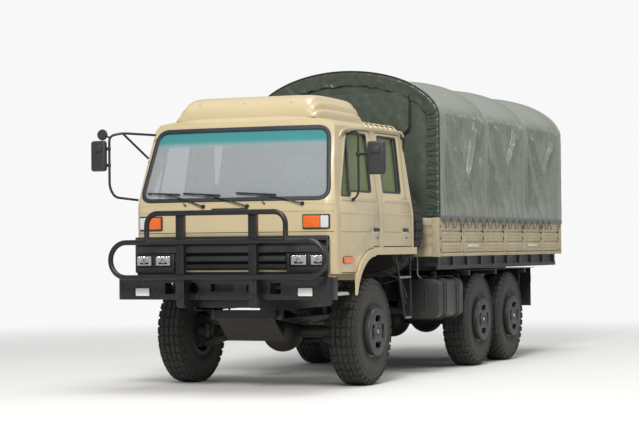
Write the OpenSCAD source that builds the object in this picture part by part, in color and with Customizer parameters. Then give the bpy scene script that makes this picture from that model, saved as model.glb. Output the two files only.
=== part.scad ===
// Military cargo truck: six driven wheels, cab-over crew cab and a canvas-covered bed.
// Millimetres. The front faces -Y, the truck's left side is +X and +Z is up.
// The origin is on the ground, in the middle of the truck's length and width.

/* [Overall] */
// Length from the bull bar to the tailgate
overall_l = 9000; // [8600:10:9400]
// Distance from the bull bar's front to the front axle
front_overhang = 1550; // [1450:10:1650]
// Height of the canvas along its ridge
overall_h = 3690; // [3500:10:3800]

/* [Running gear] */
// Distance from the front axle to the middle axle
wheelbase = 3750; // [3600:10:3900]
// Distance from the middle axle to the rear axle
tandem_gap = 1300; // [1250:10:1400]
// Distance between the middles of the left and right tyres
track = 2074; // [2040:2:2100]
// Outer radius of a tyre
tyre_r = 590; // [570:1:600]
// Width of a tyre
tyre_w = 320; // [290:1:330]
// Radius of the rim's tyre seat
rim_r = 262; // [250:1:270]
// Radius of the spindle that each wheel turns on
spindle_r = 45; // [35:1:55]
// Steering lock to each side, in degrees
steer_lock = 28; // [15:1:30]

/* [Frame] */
// Half of the distance over the frame rails
frame_half_w = 430; // [400:5:450]
// Height of the rails' top flange above the ground
frame_top = 1110; // [1080:5:1120]
// Height of a rail
rail_h = 260; // [200:5:280]

/* [Cab] */
// Half width of the cab at the doors
cab_half_w = 1185; // [1175:1:1200]
// Half width of the cab at the roof gutter
gutter_half_w = 1072; // [1050:1:1090]
// Height of the roof's crown
roof_h = 2965; // [2930:5:3000]
// Height of the gutter along the roof's sides
gutter_h = 2835; // [2800:5:2860]
// Height where the sides start to lean in
crease_h = 1895; // [1850:5:1930]
// Height of the windscreen's lower edge
belt_h = 2015; // [1980:5:2040]
// Distance from the front axle back to the cab's rear wall
cab_rear = 1335; // [1320:5:1350]
// Distance from the front axle forward to the cab's front panel
cab_front = 1150; // [1120:5:1170]
// Thickness of a door, and of the cab's walls beside it
wall_t = 60; // [50:1:70]
// Gap around each door
door_gap = 8; // [7:0.5:10]

/* [Bed] */
// Half width of the bed over its side boards
bed_half_w = 1235; // [1220:5:1250]
// Distance from the front axle to the bed's front board
bed_front = 2110; // [2080:5:2150]
// Height of the side boards' lower edge
board_low = 1420; // [1400:5:1440]
// Height of the side boards' upper edge
board_top = 1840; // [1800:5:1880]
// Height where the canvas's sides turn into its arched top
spring_h = 3090; // [3000:5:3200]
// Thickness of the canvas's solid
canvas_t = 15; // [10:1:20]

/* [Hidden] */
$fn = 48;

front_y = -overall_l / 2;
tail_y = overall_l / 2;
fa = front_y + front_overhang;
axle_y = [fa, fa + wheelbase, fa + wheelbase + tandem_gap];
axle_z = tyre_r;
wheel_x = track / 2;
// The king pins stand just inside the front tyres
king_x = wheel_x - 197;
king_r = 20;
arm_l = 260;
arm_z = axle_z - 113;
rail_low = frame_top - rail_h;

cab_y0 = fa - cab_front;
cab_y1 = fa + cab_rear;
cab_low = 1245;
floor_z = 1475;
arch_y = fa + 60;
arch_z = 835;
arch_r = 585;
flare_w = 85;
screen_lean = 20;
skin_t = 20;
inset = 15;

// Door lines, measured back from the front axle
door_1a = fa - 910;
door_1b = fa + 232;
door_2a = fa + 358;
door_2b = fa + 1290;
door_2c = fa + 1170;
door_top = gutter_h - 22;
door_open_max = 70;

bed_y0 = fa + bed_front;
bed_y1 = tail_y - 50;
bed_floor_z = 1440;
bow_count = 4;
bow_pitch = (bed_y1 - bed_y0 - 200) / (bow_count - 1);
bow_tube = 20;
arch_power = 1.08;

tan_paint = "#c9b68d";
black_paint = "#1c1d1e";
canvas_green = "#4f5a4c";
rubber_black = "#262626";
glass_tint = "#9fb6b4";

// ---------- shared shapes ----------

// A box given by its low and high corners
module box(low, high) {
    translate(low) cube([high.x - low.x, high.y - low.y, high.z - low.z]);
}

// A box and its mirror image on the other side of the truck
module box_pair(low, high) {
    box(low, high);
    mirror([1, 0, 0]) box(low, high);
}

// A 2D outline drawn as [y, z] and extruded along X between two places
module along_x(x0, x1) {
    translate([x0, 0, 0]) rotate([90, 0, 90]) linear_extrude(x1 - x0) children();
}

// A 2D outline drawn as [x, z] and extruded along Y between two places
module along_y(y0, y1) {
    translate([0, y1, 0]) rotate([90, 0, 0]) linear_extrude(y1 - y0) children();
}

// A cylinder along X, from x0 to x1
module rod_x(r, x0, x1, y, z) {
    translate([x0, y, z]) rotate([0, 90, 0]) cylinder(r = r, h = x1 - x0);
}

// A cylinder along Y, from y0 to y1
module rod_y(r, y0, y1, x, z) {
    translate([x, y0, z]) rotate([-90, 0, 0]) cylinder(r = r, h = y1 - y0);
}

// A straight tube's solid between two points, with round ends
module strut(a, b, r) {
    d = b - a;
    l = norm(d);
    joint_r = r + 1.5;
    translate(a) rotate([0, acos(d.z / l), atan2(d.y, d.x)]) cylinder(r = r, h = l, $fn = 24);
    for (end = [a, b]) translate(end) sphere(r = joint_r, $fn = 20);
}

// Both sides of the truck
module both_sides() {
    children();
    mirror([1, 0, 0]) children();
}

// The corner points of an outline, with an arc of radius r at each corner
function unit(v) = v / norm(v);
function corner(p, c, n, r, steps = 6) =
    let (u = unit(p - c), w = unit(n - c), half = acos(u * w) / 2,
        reach = r / tan(half), middle = c + unit(u + w) * r / sin(half),
        a0 = atan2(c.y + u.y * reach - middle.y, c.x + u.x * reach - middle.x),
        a1 = atan2(c.y + w.y * reach - middle.y, c.x + w.x * reach - middle.x),
        turn = (a1 - a0 + 540) % 360 - 180)
    [for (i = [0:steps]) middle + r * [cos(a0 + turn * i / steps), sin(a0 + turn * i / steps)]];
function rounded(pts, radii) =
    let (n = len(pts))
    [for (i = [0:n - 1])
        each radii[i] == 0 ? [pts[i]]
            : corner(pts[(i + n - 1) % n], pts[i], pts[(i + 1) % n], radii[i])];

// ---------- chassis ----------

module c_rail() {
    web = 10;
    polygon([[frame_half_w - 80, rail_low], [frame_half_w, rail_low],
        [frame_half_w, frame_top], [frame_half_w - 80, frame_top],
        [frame_half_w - 80, frame_top - web], [frame_half_w - web, frame_top - web],
        [frame_half_w - web, rail_low + web], [frame_half_w - 80, rail_low + web]]);
}

module frame() {
    cross_y = [fa - 1050, fa + 1500, fa + 2650, axle_y[1] + tandem_gap / 2, fa + 5900, fa + 7060];
    rear_y = hook_y;
    color(black_paint) {
        both_sides() along_y(fa - 1150, rear_y) c_rail();
        for (y = cross_y) box([-frame_half_w + 5, y - 40, rail_low + 30],
            [frame_half_w - 5, y + 40, frame_top - 30]);
        // cab mounts
        both_sides() {
            box([frame_half_w - 80, fa - 1100, frame_top - 5], [frame_half_w, fa - 1020, cab_low - 5]);
            box([frame_half_w - 80, fa + 1160, frame_top - 5], [frame_half_w, fa + 1240, floor_z]);
        }
        difference() {
            box([-frame_half_w + 5, rear_y - 30, rail_low], [frame_half_w - 5, rear_y, frame_top]);
            rod_y(32, rear_y - 40, rear_y + 10, 0, hook_z);
        }
    }
}

hook_z = rail_low + 130;
hook_y = fa + 7200;

// Rear tow hook: a pintle block with a vertical pin bore through its jaw
module tow_hook() {
    jaw_y = hook_y + 140;
    color(black_paint) {
        rod_y(30, hook_y - 60, hook_y + 60, 0, hook_z);
        difference() {
            box([-60, hook_y + 10, hook_z - 75], [60, hook_y + 195, hook_z + 75]);
            box([-70, hook_y + 70, hook_z - 40], [70, hook_y + 200, hook_z + 40]);
            translate([0, jaw_y, hook_z - 90]) cylinder(r = 20, h = 180);
        }
    }
}

bumper_y0 = fa - 1360;
bumper_y1 = fa - 1200;
bumper_z0 = 975;
bumper_z1 = 1212;
bumper_half_w = 1262;
shackle_x = 620;

module bumper() {
    fog_x = 957;
    color(black_paint) difference() {
        translate([0, 0, bumper_z0]) linear_extrude(bumper_z1 - bumper_z0)
            polygon(rounded([[-bumper_half_w, bumper_y0], [bumper_half_w, bumper_y0],
                [bumper_half_w, bumper_y1], [-bumper_half_w, bumper_y1]], [60, 60, 0, 0]));
        both_sides() {
            box([fog_x - 92, bumper_y0 - 1, 1005], [fog_x + 92, bumper_y0 + 70, 1107]);
            rod_y(62, bumper_y0 - 1, bumper_y1 + 1, 345, 1095);
            box([shackle_x - 60, bumper_y0 - 1, 1035], [shackle_x + 60, bumper_y1 + 1, 1155]);
        }
        box([-135, bumper_y0 - 1, 1060], [135, bumper_y0 + 90, 1145]);
        both_sides() translate([shackle_x, bumper_y0 + 45, bumper_z0 - 1])
            cylinder(r = 15, h = bumper_z1 - bumper_z0 + 2);
    }
    color(black_paint) both_sides()
        box([380, bumper_y1, 1000], [425, fa - 1150, 1090]);
}

bar_r = 28;
bar_y = front_y + bar_r;

// A quarter bend of the guard's tube about the point c, from angle a in the XZ plane
module bend(c, r, a) {
    translate([c.x, bar_y, c.y]) rotate([90, 0, 0]) rotate([0, 0, a])
        rotate_extrude(angle = 90) translate([r, 0]) circle(bar_r);
}

module bull_bar() {
    ring_low = 1215;
    ring_top = 1592;
    end_r = (ring_top - ring_low) / 2;
    ring_x = 1253 - end_r;
    hoop_x = 812;
    hoop_top = 1900;
    hoop_r = 130;
    post_x = 425;
    post_y0 = bar_y + 10;
    color(black_paint) {
        rod_x(bar_r, -ring_x, ring_x, bar_y, ring_low);
        rod_x(bar_r, -ring_x, ring_x, bar_y, ring_top);
        rod_x(bar_r, -hoop_x + hoop_r, hoop_x - hoop_r, bar_y, hoop_top);
        both_sides() {
            bend([ring_x, (ring_low + ring_top) / 2], end_r, 0);
            bend([ring_x, (ring_low + ring_top) / 2], end_r, -90);
            bend([hoop_x - hoop_r, hoop_top - hoop_r], hoop_r, 0);
            translate([hoop_x, bar_y, ring_top]) cylinder(r = bar_r, h = hoop_top - hoop_r - ring_top);
            along_x(post_x - 46, post_x + 46) polygon(rounded([[post_y0, hoop_top], [post_y0, 890],
                [fa - 1240, 890], [fa - 1240, 974], [bumper_y0 - 1, 974],
                [bumper_y0 - 1, 1180], [post_y0 + 60, 1200], [post_y0 + 60, hoop_top]],
                [0, 60, 0, 0, 0, 0, 0, 0]));
        }
    }
}

module skid_guard() {
    color(black_paint) {
        box([-380, fa - 830, 770], [380, fa - 822, rail_low]);
        along_x(-345, 345) polygon([[fa - 800, 765], [fa - 500, 500], [fa - 490, 508], [fa - 790, 773]]);
        both_sides() box([330, fa - 840, 770], [345, fa - 790, rail_low]);
    }
}

module engine() {
    color("#3a3c3d") difference() {
        box([-300, fa - 700, 900], [300, fa + 620, 1520]);
        box([-301, fa - 701, 899], [301, fa - 560, 1100]);
    }
}

// Transfer case's ends
case_y0 = fa + 1900;
case_y1 = fa + 2300;

module gearbox() {
    color("#3a3c3d") {
        rod_y(138, fa + 620, fa + 900, 0, 1100);
        box([-150, fa + 900, 930], [150, fa + 1330, 1230]);
        rod_y(30, fa + 1330, fa + 1460, 0, 1060);
        box([-200, case_y0, 540], [250, case_y1, 900]);
        box([-frame_half_w + 12, fa + 2060, 900], [frame_half_w - 12, fa + 2140, 960]);
    }
}

module drive_shafts() {
    case_z = 640;
    gap = 46;
    color("#2b2b2c") {
        strut([front_bowl_x, fa + neck + gap, axle_z], [front_bowl_x, case_y0 - gap, case_z], 36);
        strut([0, case_y1 + gap, case_z], [0, axle_y[1] - neck - gap, axle_z], 40);
        strut([0, axle_y[1] + neck + gap, axle_z], [0, axle_y[2] - neck - gap, axle_z], 36);
        // flanges
        for (f = [[front_bowl_x, fa + neck], [front_bowl_x, case_y0 - 30], [0, case_y1], [0, axle_y[1] - neck - 30],
                [0, axle_y[1] + neck], [0, axle_y[2] - neck - 30]])
            rod_y(60, f.y, f.y + 30, f.x, f.y > case_y0 - 40 && f.y < case_y1 + 40 ? case_z : axle_z);
    }
}

// Distance from an axle's middle to its drive flanges
neck = 240;

// How far the front axle's bowl stands left of the middle
front_bowl_x = 100;

// A driven axle's beam: round housing in the middle and tubes to each side
module axle_beam(y, bowl_x, reach) {
    color(black_paint) {
        translate([bowl_x, y, axle_z]) sphere(r = 235);
        rod_y(110, y - neck, y + neck, bowl_x, axle_z);
        rod_x(70, -reach, reach, y, axle_z);
    }
}

module front_axle() {
    eye_r = 62;
    difference() {
        union() {
            axle_beam(fa, front_bowl_x, king_x - 150);
            color(black_paint) both_sides() for (s = [-1, 1])
                hull() {
                    translate([king_x, fa, axle_z + s * 150 - 25]) cylinder(r = eye_r, h = 50, $fn = 32);
                    box([king_x - 220, fa - 55, axle_z + s * 90 - 30],
                        [king_x - 150, fa + 55, axle_z + s * 90 + 30]);
                }
        }
        both_sides() translate([king_x, fa, axle_z - 200]) cylinder(r = king_r + 0.05, h = 400);
    }
}

module rear_axles() {
    for (y = [axle_y[1], axle_y[2]]) {
        axle_beam(y, 0, wheel_x - 60);
        color(black_paint) both_sides() {
            rod_x(spindle_r, wheel_x - 70, wheel_x + 188, y, axle_z);
            rod_x(190, wheel_x - 112, wheel_x + 3, y, axle_z);
        }
    }
}

// Front and rear leaf packs, with the tandem's packs hung on a middle trunnion
module leaf_springs() {
    spring_x = 385;
    color(black_paint) {
        both_sides() {
            for (i = [0:4]) box([spring_x - 40, fa - 760 + i * 120, axle_z + 150 - i * 14],
                [spring_x + 40, fa + 760 - i * 120, axle_z + 163 - i * 14]);
            box([spring_x - 45, fa - 70, axle_z + 70], [spring_x + 45, fa + 70, axle_z + 112]);
            for (s = [-1, 1]) box([spring_x - 40, fa + s * 735 - 25, axle_z + 150],
                [spring_x + 40, fa + s * 735 + 25, rail_low]);
            for (i = [0:6]) box([spring_x - 40, axle_y[1] - 50 + i * 75, axle_z + 90 + i * 14],
                [spring_x + 40, axle_y[2] + 50 - i * 75, axle_z + 103 + i * 14]);
            box([spring_x - 50, (axle_y[1] + axle_y[2]) / 2 - 110, axle_z + 170],
                [spring_x + 50, (axle_y[1] + axle_y[2]) / 2 + 110, rail_low]);
            for (y = [axle_y[1], axle_y[2]]) box([spring_x - 45, y - 60, axle_z + 70],
                [spring_x + 45, y + 60, axle_z + 92]);
        }
    }
}

// Height of the steering arm's underside above the track rod
arm_lift = 37;

// The left knuckle: king pin, brake drum, spindle and a steering arm to the rear
module knuckle_half() {
    color(black_paint) {
        translate([king_x, fa, axle_z - 195]) cylinder(r = king_r, h = 390);
        translate([king_x, fa, axle_z - 84]) cylinder(r = 58, h = 168);
        rod_x(85, king_x, king_x + 90, fa, axle_z);
        rod_x(190, king_x + 85, king_x + 200, fa, axle_z);
        rod_x(spindle_r, king_x + 190, wheel_x + 188, fa, axle_z);
        translate([king_x, fa, arm_z + arm_lift]) cylinder(r = 50, h = 40);
        difference() {
            hull() {
                translate([king_x, fa, arm_z + arm_lift]) cylinder(r = 40, h = 20, $fn = 32);
                translate([king_x - 40, fa + arm_l, arm_z + arm_lift]) cylinder(r = 26, h = 20, $fn = 32);
            }
            translate([king_x - 40, fa + arm_l, arm_z]) cylinder(r = 12, h = 60);
        }
    }
}

module knuckle_left() { knuckle_half(); }
module knuckle_right() { mirror([1, 0, 0]) knuckle_half(); }

// Track rod under the steering arms' ends
module tie_rod() {
    rod_y0 = fa + arm_l;
    end_x = king_x - 40;
    color("#2b2b2c") {
        rod_x(18, -end_x, end_x, rod_y0, arm_z);
        both_sides() translate([end_x, rod_y0, arm_z - 18]) cylinder(r = 28, h = 34);
    }
}

// ---------- wheels ----------

// Tyre section: flat tread, round shoulders and bulged side walls
module tyre_at(x, y) {
    half = tyre_w / 2;
    color(rubber_black) translate([x, y, axle_z]) rotate([0, 90, 0]) rotate_extrude($fn = 96)
        polygon(rounded([[rim_r, -half + 45], [rim_r + 90, -half], [tyre_r - 90, -half], [tyre_r, -half + 35],
            [tyre_r, half - 35], [tyre_r - 90, half], [rim_r + 90, half], [rim_r, half - 45]],
            [10, 60, 60, 25, 25, 60, 60, 10]));
}

disc_out = 212;
slot_ring = 150;
slot_r = 36;
slot_turn = 19;
face_r = 262;

// Rim, dished disc and hub, turned about the axle; side is 1 on the left and -1 on the right
module wheel_at(x, y, side) {
    lip = tyre_w / 2 - 42;
    bore = spindle_r + 0.06;
    flange_r = rim_r + 22;
    color("#4b4e50") translate([x, y, axle_z]) mirror([side < 0 ? 1 : 0, 0, 0])
        rotate([0, 90, 0]) difference() {
            rotate_extrude($fn = 96) polygon([[bore, 60], [80, 60], [80, 150], [215, 165], [225, 120],
                [238, 100], [238, -lip - 22], [flange_r, -lip - 22], [flange_r, -lip - 10], [rim_r, -lip + 1],
                [rim_r, lip - 1], [flange_r, lip + 10], [flange_r, lip + 22], [rim_r - 10, lip + 22],
                [face_r + 6, 160], [face_r + 6, disc_out - 12], [face_r, disc_out], [52, disc_out], [48, disc_out - 10],
                [0, disc_out - 10], [0, disc_out - 20], [bore, disc_out - 20]]);
            for (a = [0:90:270]) rotate([0, 0, a - slot_turn]) {
                rotate_extrude(angle = 2 * slot_turn, $fn = 96)
                    translate([slot_ring - slot_r + 2, 90]) square([2 * slot_r - 4, 200]);
                for (b = [0, 2 * slot_turn]) rotate([0, 0, b])
                    translate([slot_ring, 0, 90]) cylinder(r = slot_r, h = 200);
            }
            for (a = [45:90:315]) rotate([0, 0, a]) translate([235, 0, disc_out - 12]) cylinder(r = 9, h = 20);
        }
}

module tyre_front_left() { tyre_at(wheel_x, axle_y[0]); }
module tyre_front_right() { tyre_at(-wheel_x, axle_y[0]); }
module tyre_middle_left() { tyre_at(wheel_x, axle_y[1]); }
module tyre_middle_right() { tyre_at(-wheel_x, axle_y[1]); }
module tyre_rear_left() { tyre_at(wheel_x, axle_y[2]); }
module tyre_rear_right() { tyre_at(-wheel_x, axle_y[2]); }
module wheel_front_left() { wheel_at(wheel_x, axle_y[0], 1); }
module wheel_front_right() { wheel_at(-wheel_x, axle_y[0], -1); }
module wheel_middle_left() { wheel_at(wheel_x, axle_y[1], 1); }
module wheel_middle_right() { wheel_at(-wheel_x, axle_y[1], -1); }
module wheel_rear_left() { wheel_at(wheel_x, axle_y[2], 1); }
module wheel_rear_right() { wheel_at(-wheel_x, axle_y[2], -1); }

spare_x = 550;
spare_y = fa + 1690;
spare_z = 1750;

module spare_tyre() {
    translate([spare_x, spare_y, spare_z]) rotate([0, 0, -90]) translate([-wheel_x, -fa, -axle_z])
        tyre_at(wheel_x, fa);
}

module spare_wheel() {
    translate([spare_x, spare_y, spare_z]) rotate([0, 0, -90]) translate([-wheel_x, -fa, -axle_z])
        wheel_at(wheel_x, fa, 1);
}

// Rack behind the cab that the spare wheel stands in
module spare_rack() {
    back_y = spare_y + 200;
    color(black_paint) {
        both_sides() box([frame_half_w - 70, back_y, frame_top], [frame_half_w - 10, back_y + 60, 2300]);
        box([-frame_half_w + 10, back_y, 2240], [frame_half_w - 10, back_y + 60, 2300]);
        box([-frame_half_w + 10, back_y, spare_z - 60], [spare_x + 60, back_y + 60, spare_z + 60]);
        rod_y(spindle_r, spare_y - 130, back_y + 10, spare_x, spare_z);
        rod_y(85, spare_y + 100, back_y + 10, spare_x, spare_z);
    }
}

// ---------- side equipment ----------

tank_x1 = 1192;
tank_y0 = fa + 2185;
tank_y1 = fa + 3085;

module side_box(x0, x1, y0, y1, z0, z1, r) {
    along_y(y0, y1) polygon(rounded([[x0, z0], [x1, z0], [x1, z1], [x0, z1]], [r, r, r, r]));
}

module fuel_tank() {
    color(black_paint) {
        side_box(722, tank_x1, tank_y0, tank_y1, 650, 1130, 90);
        for (y = [tank_y0 + 190, tank_y1 - 250]) {
            side_box(716, tank_x1 + 6, y, y + 60, 644, 1136, 94);
            box([frame_half_w, y - 5, 700], [722, y + 65, 780]);
            box([frame_half_w, y - 5, rail_low], [frame_half_w + 20, y + 65, frame_top - 20]);
            box([frame_half_w, y - 5, rail_low - 160], [frame_half_w + 20, y + 65, rail_low + 5]);
        }
        translate([960, tank_y0 + 420, 1125]) cylinder(r = 55, h = 45);
    }
}

module battery_box() {
    color(black_paint) mirror([1, 0, 0]) {
        box([700, tank_y0, 720], [1180, tank_y0 + 620, 1120]);
        for (y = [tank_y0 + 100, tank_y0 + 460]) box([frame_half_w, y, 960], [705, y + 60, 1040]);
    }
}

module exhaust() {
    pipe_y = fa + 3050;
    color("#4a4440") mirror([1, 0, 0]) {
        rod_y(125, fa + 1450, fa + 2120, 640, 880);
        rod_y(35, fa + 2120, pipe_y, 640, 880);
        rod_x(35, 640, 1150, pipe_y, 880);
        translate([640, pipe_y, 880]) sphere(r = 35);
        box([frame_half_w, fa + 1600, 900], [640, fa + 1640, 940]);
        box([frame_half_w, fa + 1950, 900], [640, fa + 1990, 940]);
    }
}

// Tube ladders below the rear doors, and the plates below the front doors
module cab_ladders() {
    rung_y = [fa + 1075, fa + 1265];
    both_sides() {
        color(black_paint) {
            strut([1160, fa + 800, 1415], [1165, rung_y[0], 700], 15);
            strut([1160, fa + 1270, 1415], [1165, rung_y[1], 700], 15);
            strut([1165, rung_y[0], 700], [1165, rung_y[1], 700], 15);
            strut([1162, fa + 900, 1170], [1162, fa + 1270, 1170], 15);
            strut([frame_half_w + 18, fa + 1180, 1000], [1162, fa + 1180, 1170], 14);
        }
        color(tan_paint) {
            box([960, fa - 1040, 1010], [1185, fa - 690, 1040]);
            box([960, fa - 1100, 1010], [1185, fa - 1040, 1215]);
            box([960, fa - 690, 1010], [1000, fa - 660, 1215]);
        }
        color(black_paint) box([frame_half_w, fa - 1090, 1000], [970, fa - 1050, 1080]);
    }
}

// Plates over the tandem's tyres, with flaps behind them
module mudguards() {
    guard_z = 1215;
    color(black_paint) both_sides() {
        box([870, fa + 3110, guard_z], [1215, fa + 6150, guard_z + 5]);
        box([780, fa + 6150, 690], [1150, fa + 6158, guard_z]);
        for (y = [fa + 3300, fa + 4400, fa + 5700])
            box([frame_half_w, y, guard_z - 60], [1200, y + 50, guard_z]);
        box([frame_half_w, fa + 6165, 1000], [1100, fa + 6215, 1060]);
    }
}

// ---------- cab ----------

// Half of the roof's crown as [x, z], from the gutter's inner edge to the middle
function crown(half, z0, rise, n = 8) = [for (i = [0:n]) let (x = half * (1 - i / n)) [x, z0 + rise * (1 - pow(x / half, 2))]];

// The cab seen from the front, taken in by t
function cab_front_view(t) =
    let (side_w = cab_half_w - t, gutter_w = gutter_half_w - t, eave = gutter_w - 55,
        right = concat([[side_w, 1000], [side_w, crease_h], [gutter_w, gutter_h - t * 0.4]],
            crown(eave, gutter_h + 60 - t, roof_h - gutter_h - 60)),
        n = len(right))
    concat(right, [for (i = [n - 2:-1:0]) [-right[i].x, right[i].y]]);

// The cab's outer form, taken in by t on every side
module cab_form(t) {
    lean_y = 95;
    intersection() {
        // side view
        along_x(-1300, 1300) polygon(rounded([[cab_y0 - 60, 1000], [cab_y1 - t, 1000], [cab_y1 - t, crease_h],
            [cab_y1 - lean_y - t, gutter_h], [cab_y1 - lean_y - 110 - t, roof_h + 10 - t],
            [cab_y0 + 430 + t, roof_h + 10 - t], [cab_y0 + 330 + t, 2900 - t], [cab_y0 - 60, 2700]],
            [0, 0, 0, 40, 120, 150, 60, 0]));
        along_y(cab_y0 - 50, cab_y1 + 50) polygon(cab_front_view(t));
        // plan view: rounded front corners, leaning back above the belt
        union() {
            translate([0, 0, 990]) linear_extrude(belt_h - 990) cab_plan(t);
            translate([0, cab_y0, belt_h]) rotate([-screen_lean, 0, 0]) translate([0, -cab_y0, -3])
                linear_extrude(2600) cab_plan(t);
        }
    }
}

module cab_plan(t) {
    corner_r = 130;
    side_w = cab_half_w + 10 - t;
    polygon(rounded([[-side_w, cab_y1 + 900], [-side_w, cab_y0 + 75 + t], [-500, cab_y0 + 8 + t],
        [500, cab_y0 + 8 + t], [side_w, cab_y0 + 75 + t], [side_w, cab_y1 + 900]],
        [0, corner_r, 2500, 2500, corner_r, 0]));
}

// Outline of the space over the front wheel: an arc and the level sill behind it, as [y, z]
module arch_outline(r, sill) {
    union() {
        translate([arch_y, arch_z]) circle(r, $fn = 72);
        translate([arch_y, arch_z]) square([2000, sill - arch_z]);
    }
}

module cab_layer(t0, t1) {
    difference() {
        cab_form(t0);
        cab_form(t1);
    }
}

// Windscreen opening, as [x, z]
module screen_outline() {
    low = belt_h + 40;
    top = 2805;
    polygon(rounded([[-1100, low], [1100, low], [1005, top], [-1005, top]], [70, 70, 90, 90]));
}

// Rear window, as [x, z]
module rear_window_outline() {
    polygon(rounded([[-480, 2180], [480, 2180], [455, 2620], [-455, 2620]], [60, 60, 60, 60]));
}

// Side windows, as [y, z]
module front_window_outline() {
    polygon(rounded([[fa - 855, 2062], [fa - 570, 2068], [fa - 545, 2122], [fa + 65, 2122], [fa + 100, 2775],
        [fa - 420, 2775], [fa - 520, 2690]], [30, 20, 20, 30, 30, 40, 40]));
}

module rear_window_side_outline() {
    polygon(rounded([[fa + 425, 2130], [fa + 1000, 2130], [fa + 1040, 2775], [fa + 430, 2775]], [30, 30, 30, 30]));
}

// A door's outline, taken in by g, as [y, z]
module front_door_outline(g) {
    difference() {
        polygon(rounded([[door_1a + g, cab_low + g], [door_1b - g, cab_low + g], [door_1b - g, door_top - g],
            [fa - 460 + g, door_top - g], [fa - 590 + g, door_top - 110 - g],
            [door_1a + g, belt_h - 20], [door_1a + g, crease_h]], [20, 0, 30, 30, 30, 0, 0]));
        arch_outline(arch_r + flare_w + g, floor_z + 45 + g);
    }
}

module rear_door_outline(g) {
    polygon(rounded([[door_2a + g, floor_z + 45 + g], [door_2b - g, floor_z + 45 + g],
        [door_2b - g, crease_h + 60 - g], [door_2c - g, crease_h + 190],
        [door_2c - g, door_top - g], [door_2a + g, door_top - g]], [0, 20, 20, 20, 30, 30]));
}

module cab_shell() {
    color(tan_paint) difference() {
        union() {
            cab_layer(0, wall_t);
            // floor and wheel-house
            intersection() {
                cab_form(5);
                difference() {
                    along_x(-1180, 1180) arch_outline(arch_r + flare_w - 10, floor_z + 40);
                    along_x(-1300, 1300) arch_outline(arch_r + 15, floor_z);
                }
            }
            // front floor
            intersection() {
                cab_form(5);
                box([-1180, cab_y0, cab_low - 5], [1180, arch_y - 540, cab_low + 25]);
            }
            // flares
            both_sides() along_x(cab_half_w - 40, cab_half_w + 25) difference() {
                intersection() {
                    arch_outline(arch_r + flare_w, floor_z + 40);
                    translate([arch_y - 700, 990]) square([cab_y1 + 45 - arch_y + 700, 700]);
                }
                arch_outline(arch_r, floor_z - 40);
            }
            both_sides() box([cab_half_w - 40, cab_y1 + 5, 1335], [cab_half_w + 25, cab_y1 + 45, floor_z]);
            // hinge and latch posts between the doors
            both_sides() intersection() {
                cab_form(4);
                box([900, door_1b + 10, floor_z], [1300, door_2a - 10, gutter_h]);
            }
        }
        // underside
        box([-1400, cab_y0 - 100, 900], [1400, arch_y - 560, cab_low - 5]);
        along_x(-1150, 1150) arch_outline(arch_r + 15, floor_z);
        along_x(-1400, 1400) arch_outline(arch_r, floor_z - 40);
        box([-1180, arch_y - 700, 900], [1180, arch_y - 500, cab_low - 5]);
        // engine tunnel
        box([-330, fa - 730, 800], [330, fa + 650, floor_z + 60]);
        along_y(cab_y0 - 300, fa - 500) screen_outline();
        along_y(cab_y1 - 200, cab_y1 + 100) rear_window_outline();
        both_sides() {
            along_x(cab_half_w - 260, 1400) front_door_outline(0);
            along_x(cab_half_w - 260, 1400) rear_door_outline(0);
        }
        // openings behind the lamps and the grille
        box([-1150, cab_y0 - 60, 1290], [1150, cab_y0 + 40, 1640]);
    }
    color(tan_paint) difference() {
        box([-350, fa - 750, cab_low - 5], [350, fa + 670, floor_z + 80]);
        box([-332, fa - 732, cab_low - 15], [332, fa + 652, floor_z + 62]);
    }
}

module cab_glass() {
    color(glass_tint) {
        intersection() {
            cab_layer(10, 16);
            along_y(cab_y0 - 300, fa - 500) screen_outline();
        }
        along_y(cab_y1 - 22, cab_y1 - 16) rear_window_outline();
    }
}

// A left door: outer skin, inner half set back from the skin's edge, and a window opening
module door_body() {
    color(tan_paint) difference() {
        union() {
            intersection() {
                cab_layer(0, skin_t);
                along_x(cab_half_w - 260, 1300) children(0);
            }
            intersection() {
                cab_layer(skin_t, wall_t);
                along_x(cab_half_w - 260, 1300) children(1);
            }
        }
        along_x(cab_half_w - 280, 1400) children(2);
    }
}

module front_door_left() {
    door_body() {
        front_door_outline(door_gap);
        front_door_outline(door_gap + inset);
        front_window_outline();
    }
}

module rear_door_left() {
    door_body() {
        rear_door_outline(door_gap);
        rear_door_outline(door_gap + inset);
        rear_window_side_outline();
    }
}

module front_door_right() { mirror([1, 0, 0]) front_door_left(); }
module rear_door_right() { mirror([1, 0, 0]) rear_door_left(); }

module side_glass() {
    color(glass_tint) intersection() {
        cab_layer(25, 31);
        along_x(cab_half_w - 280, 1400) children();
    }
}

module front_glass_left() { side_glass() front_window_outline(); }
module rear_glass_left() { side_glass() rear_window_side_outline(); }
module front_glass_right() { mirror([1, 0, 0]) front_glass_left(); }
module rear_glass_right() { mirror([1, 0, 0]) rear_glass_left(); }

// Grille panel with slats and the four headlamp recesses
module grille() {
    half = 1140;
    low = 1262;
    top = 1655;
    lamp_z = [1322, 1456];
    color("#33383a") difference() {
        union() {
            box([-half, cab_y0 - 22, low], [half, cab_y0 + 8, top]);
            box([-half, cab_y0 - 22, 1291], [half, cab_y0 + 40, 1639]);
            both_sides() box([834, cab_y0 - 22, low], [half, cab_y0 + 40, top]);
        }
        both_sides() box([700, cab_y0 - 30, lamp_z[0]], [1132, cab_y0 + 20, lamp_z[1]]);
        for (z = [1300:60:1600]) box([-660, cab_y0 - 30, z], [660, cab_y0 + 10, z + 22]);
    }
    color("#e8eef0") both_sides() for (x = [712, 940])
        box([x, cab_y0 - 12, 1334], [x + 182, cab_y0 + 20, 1444]);
}

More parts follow.
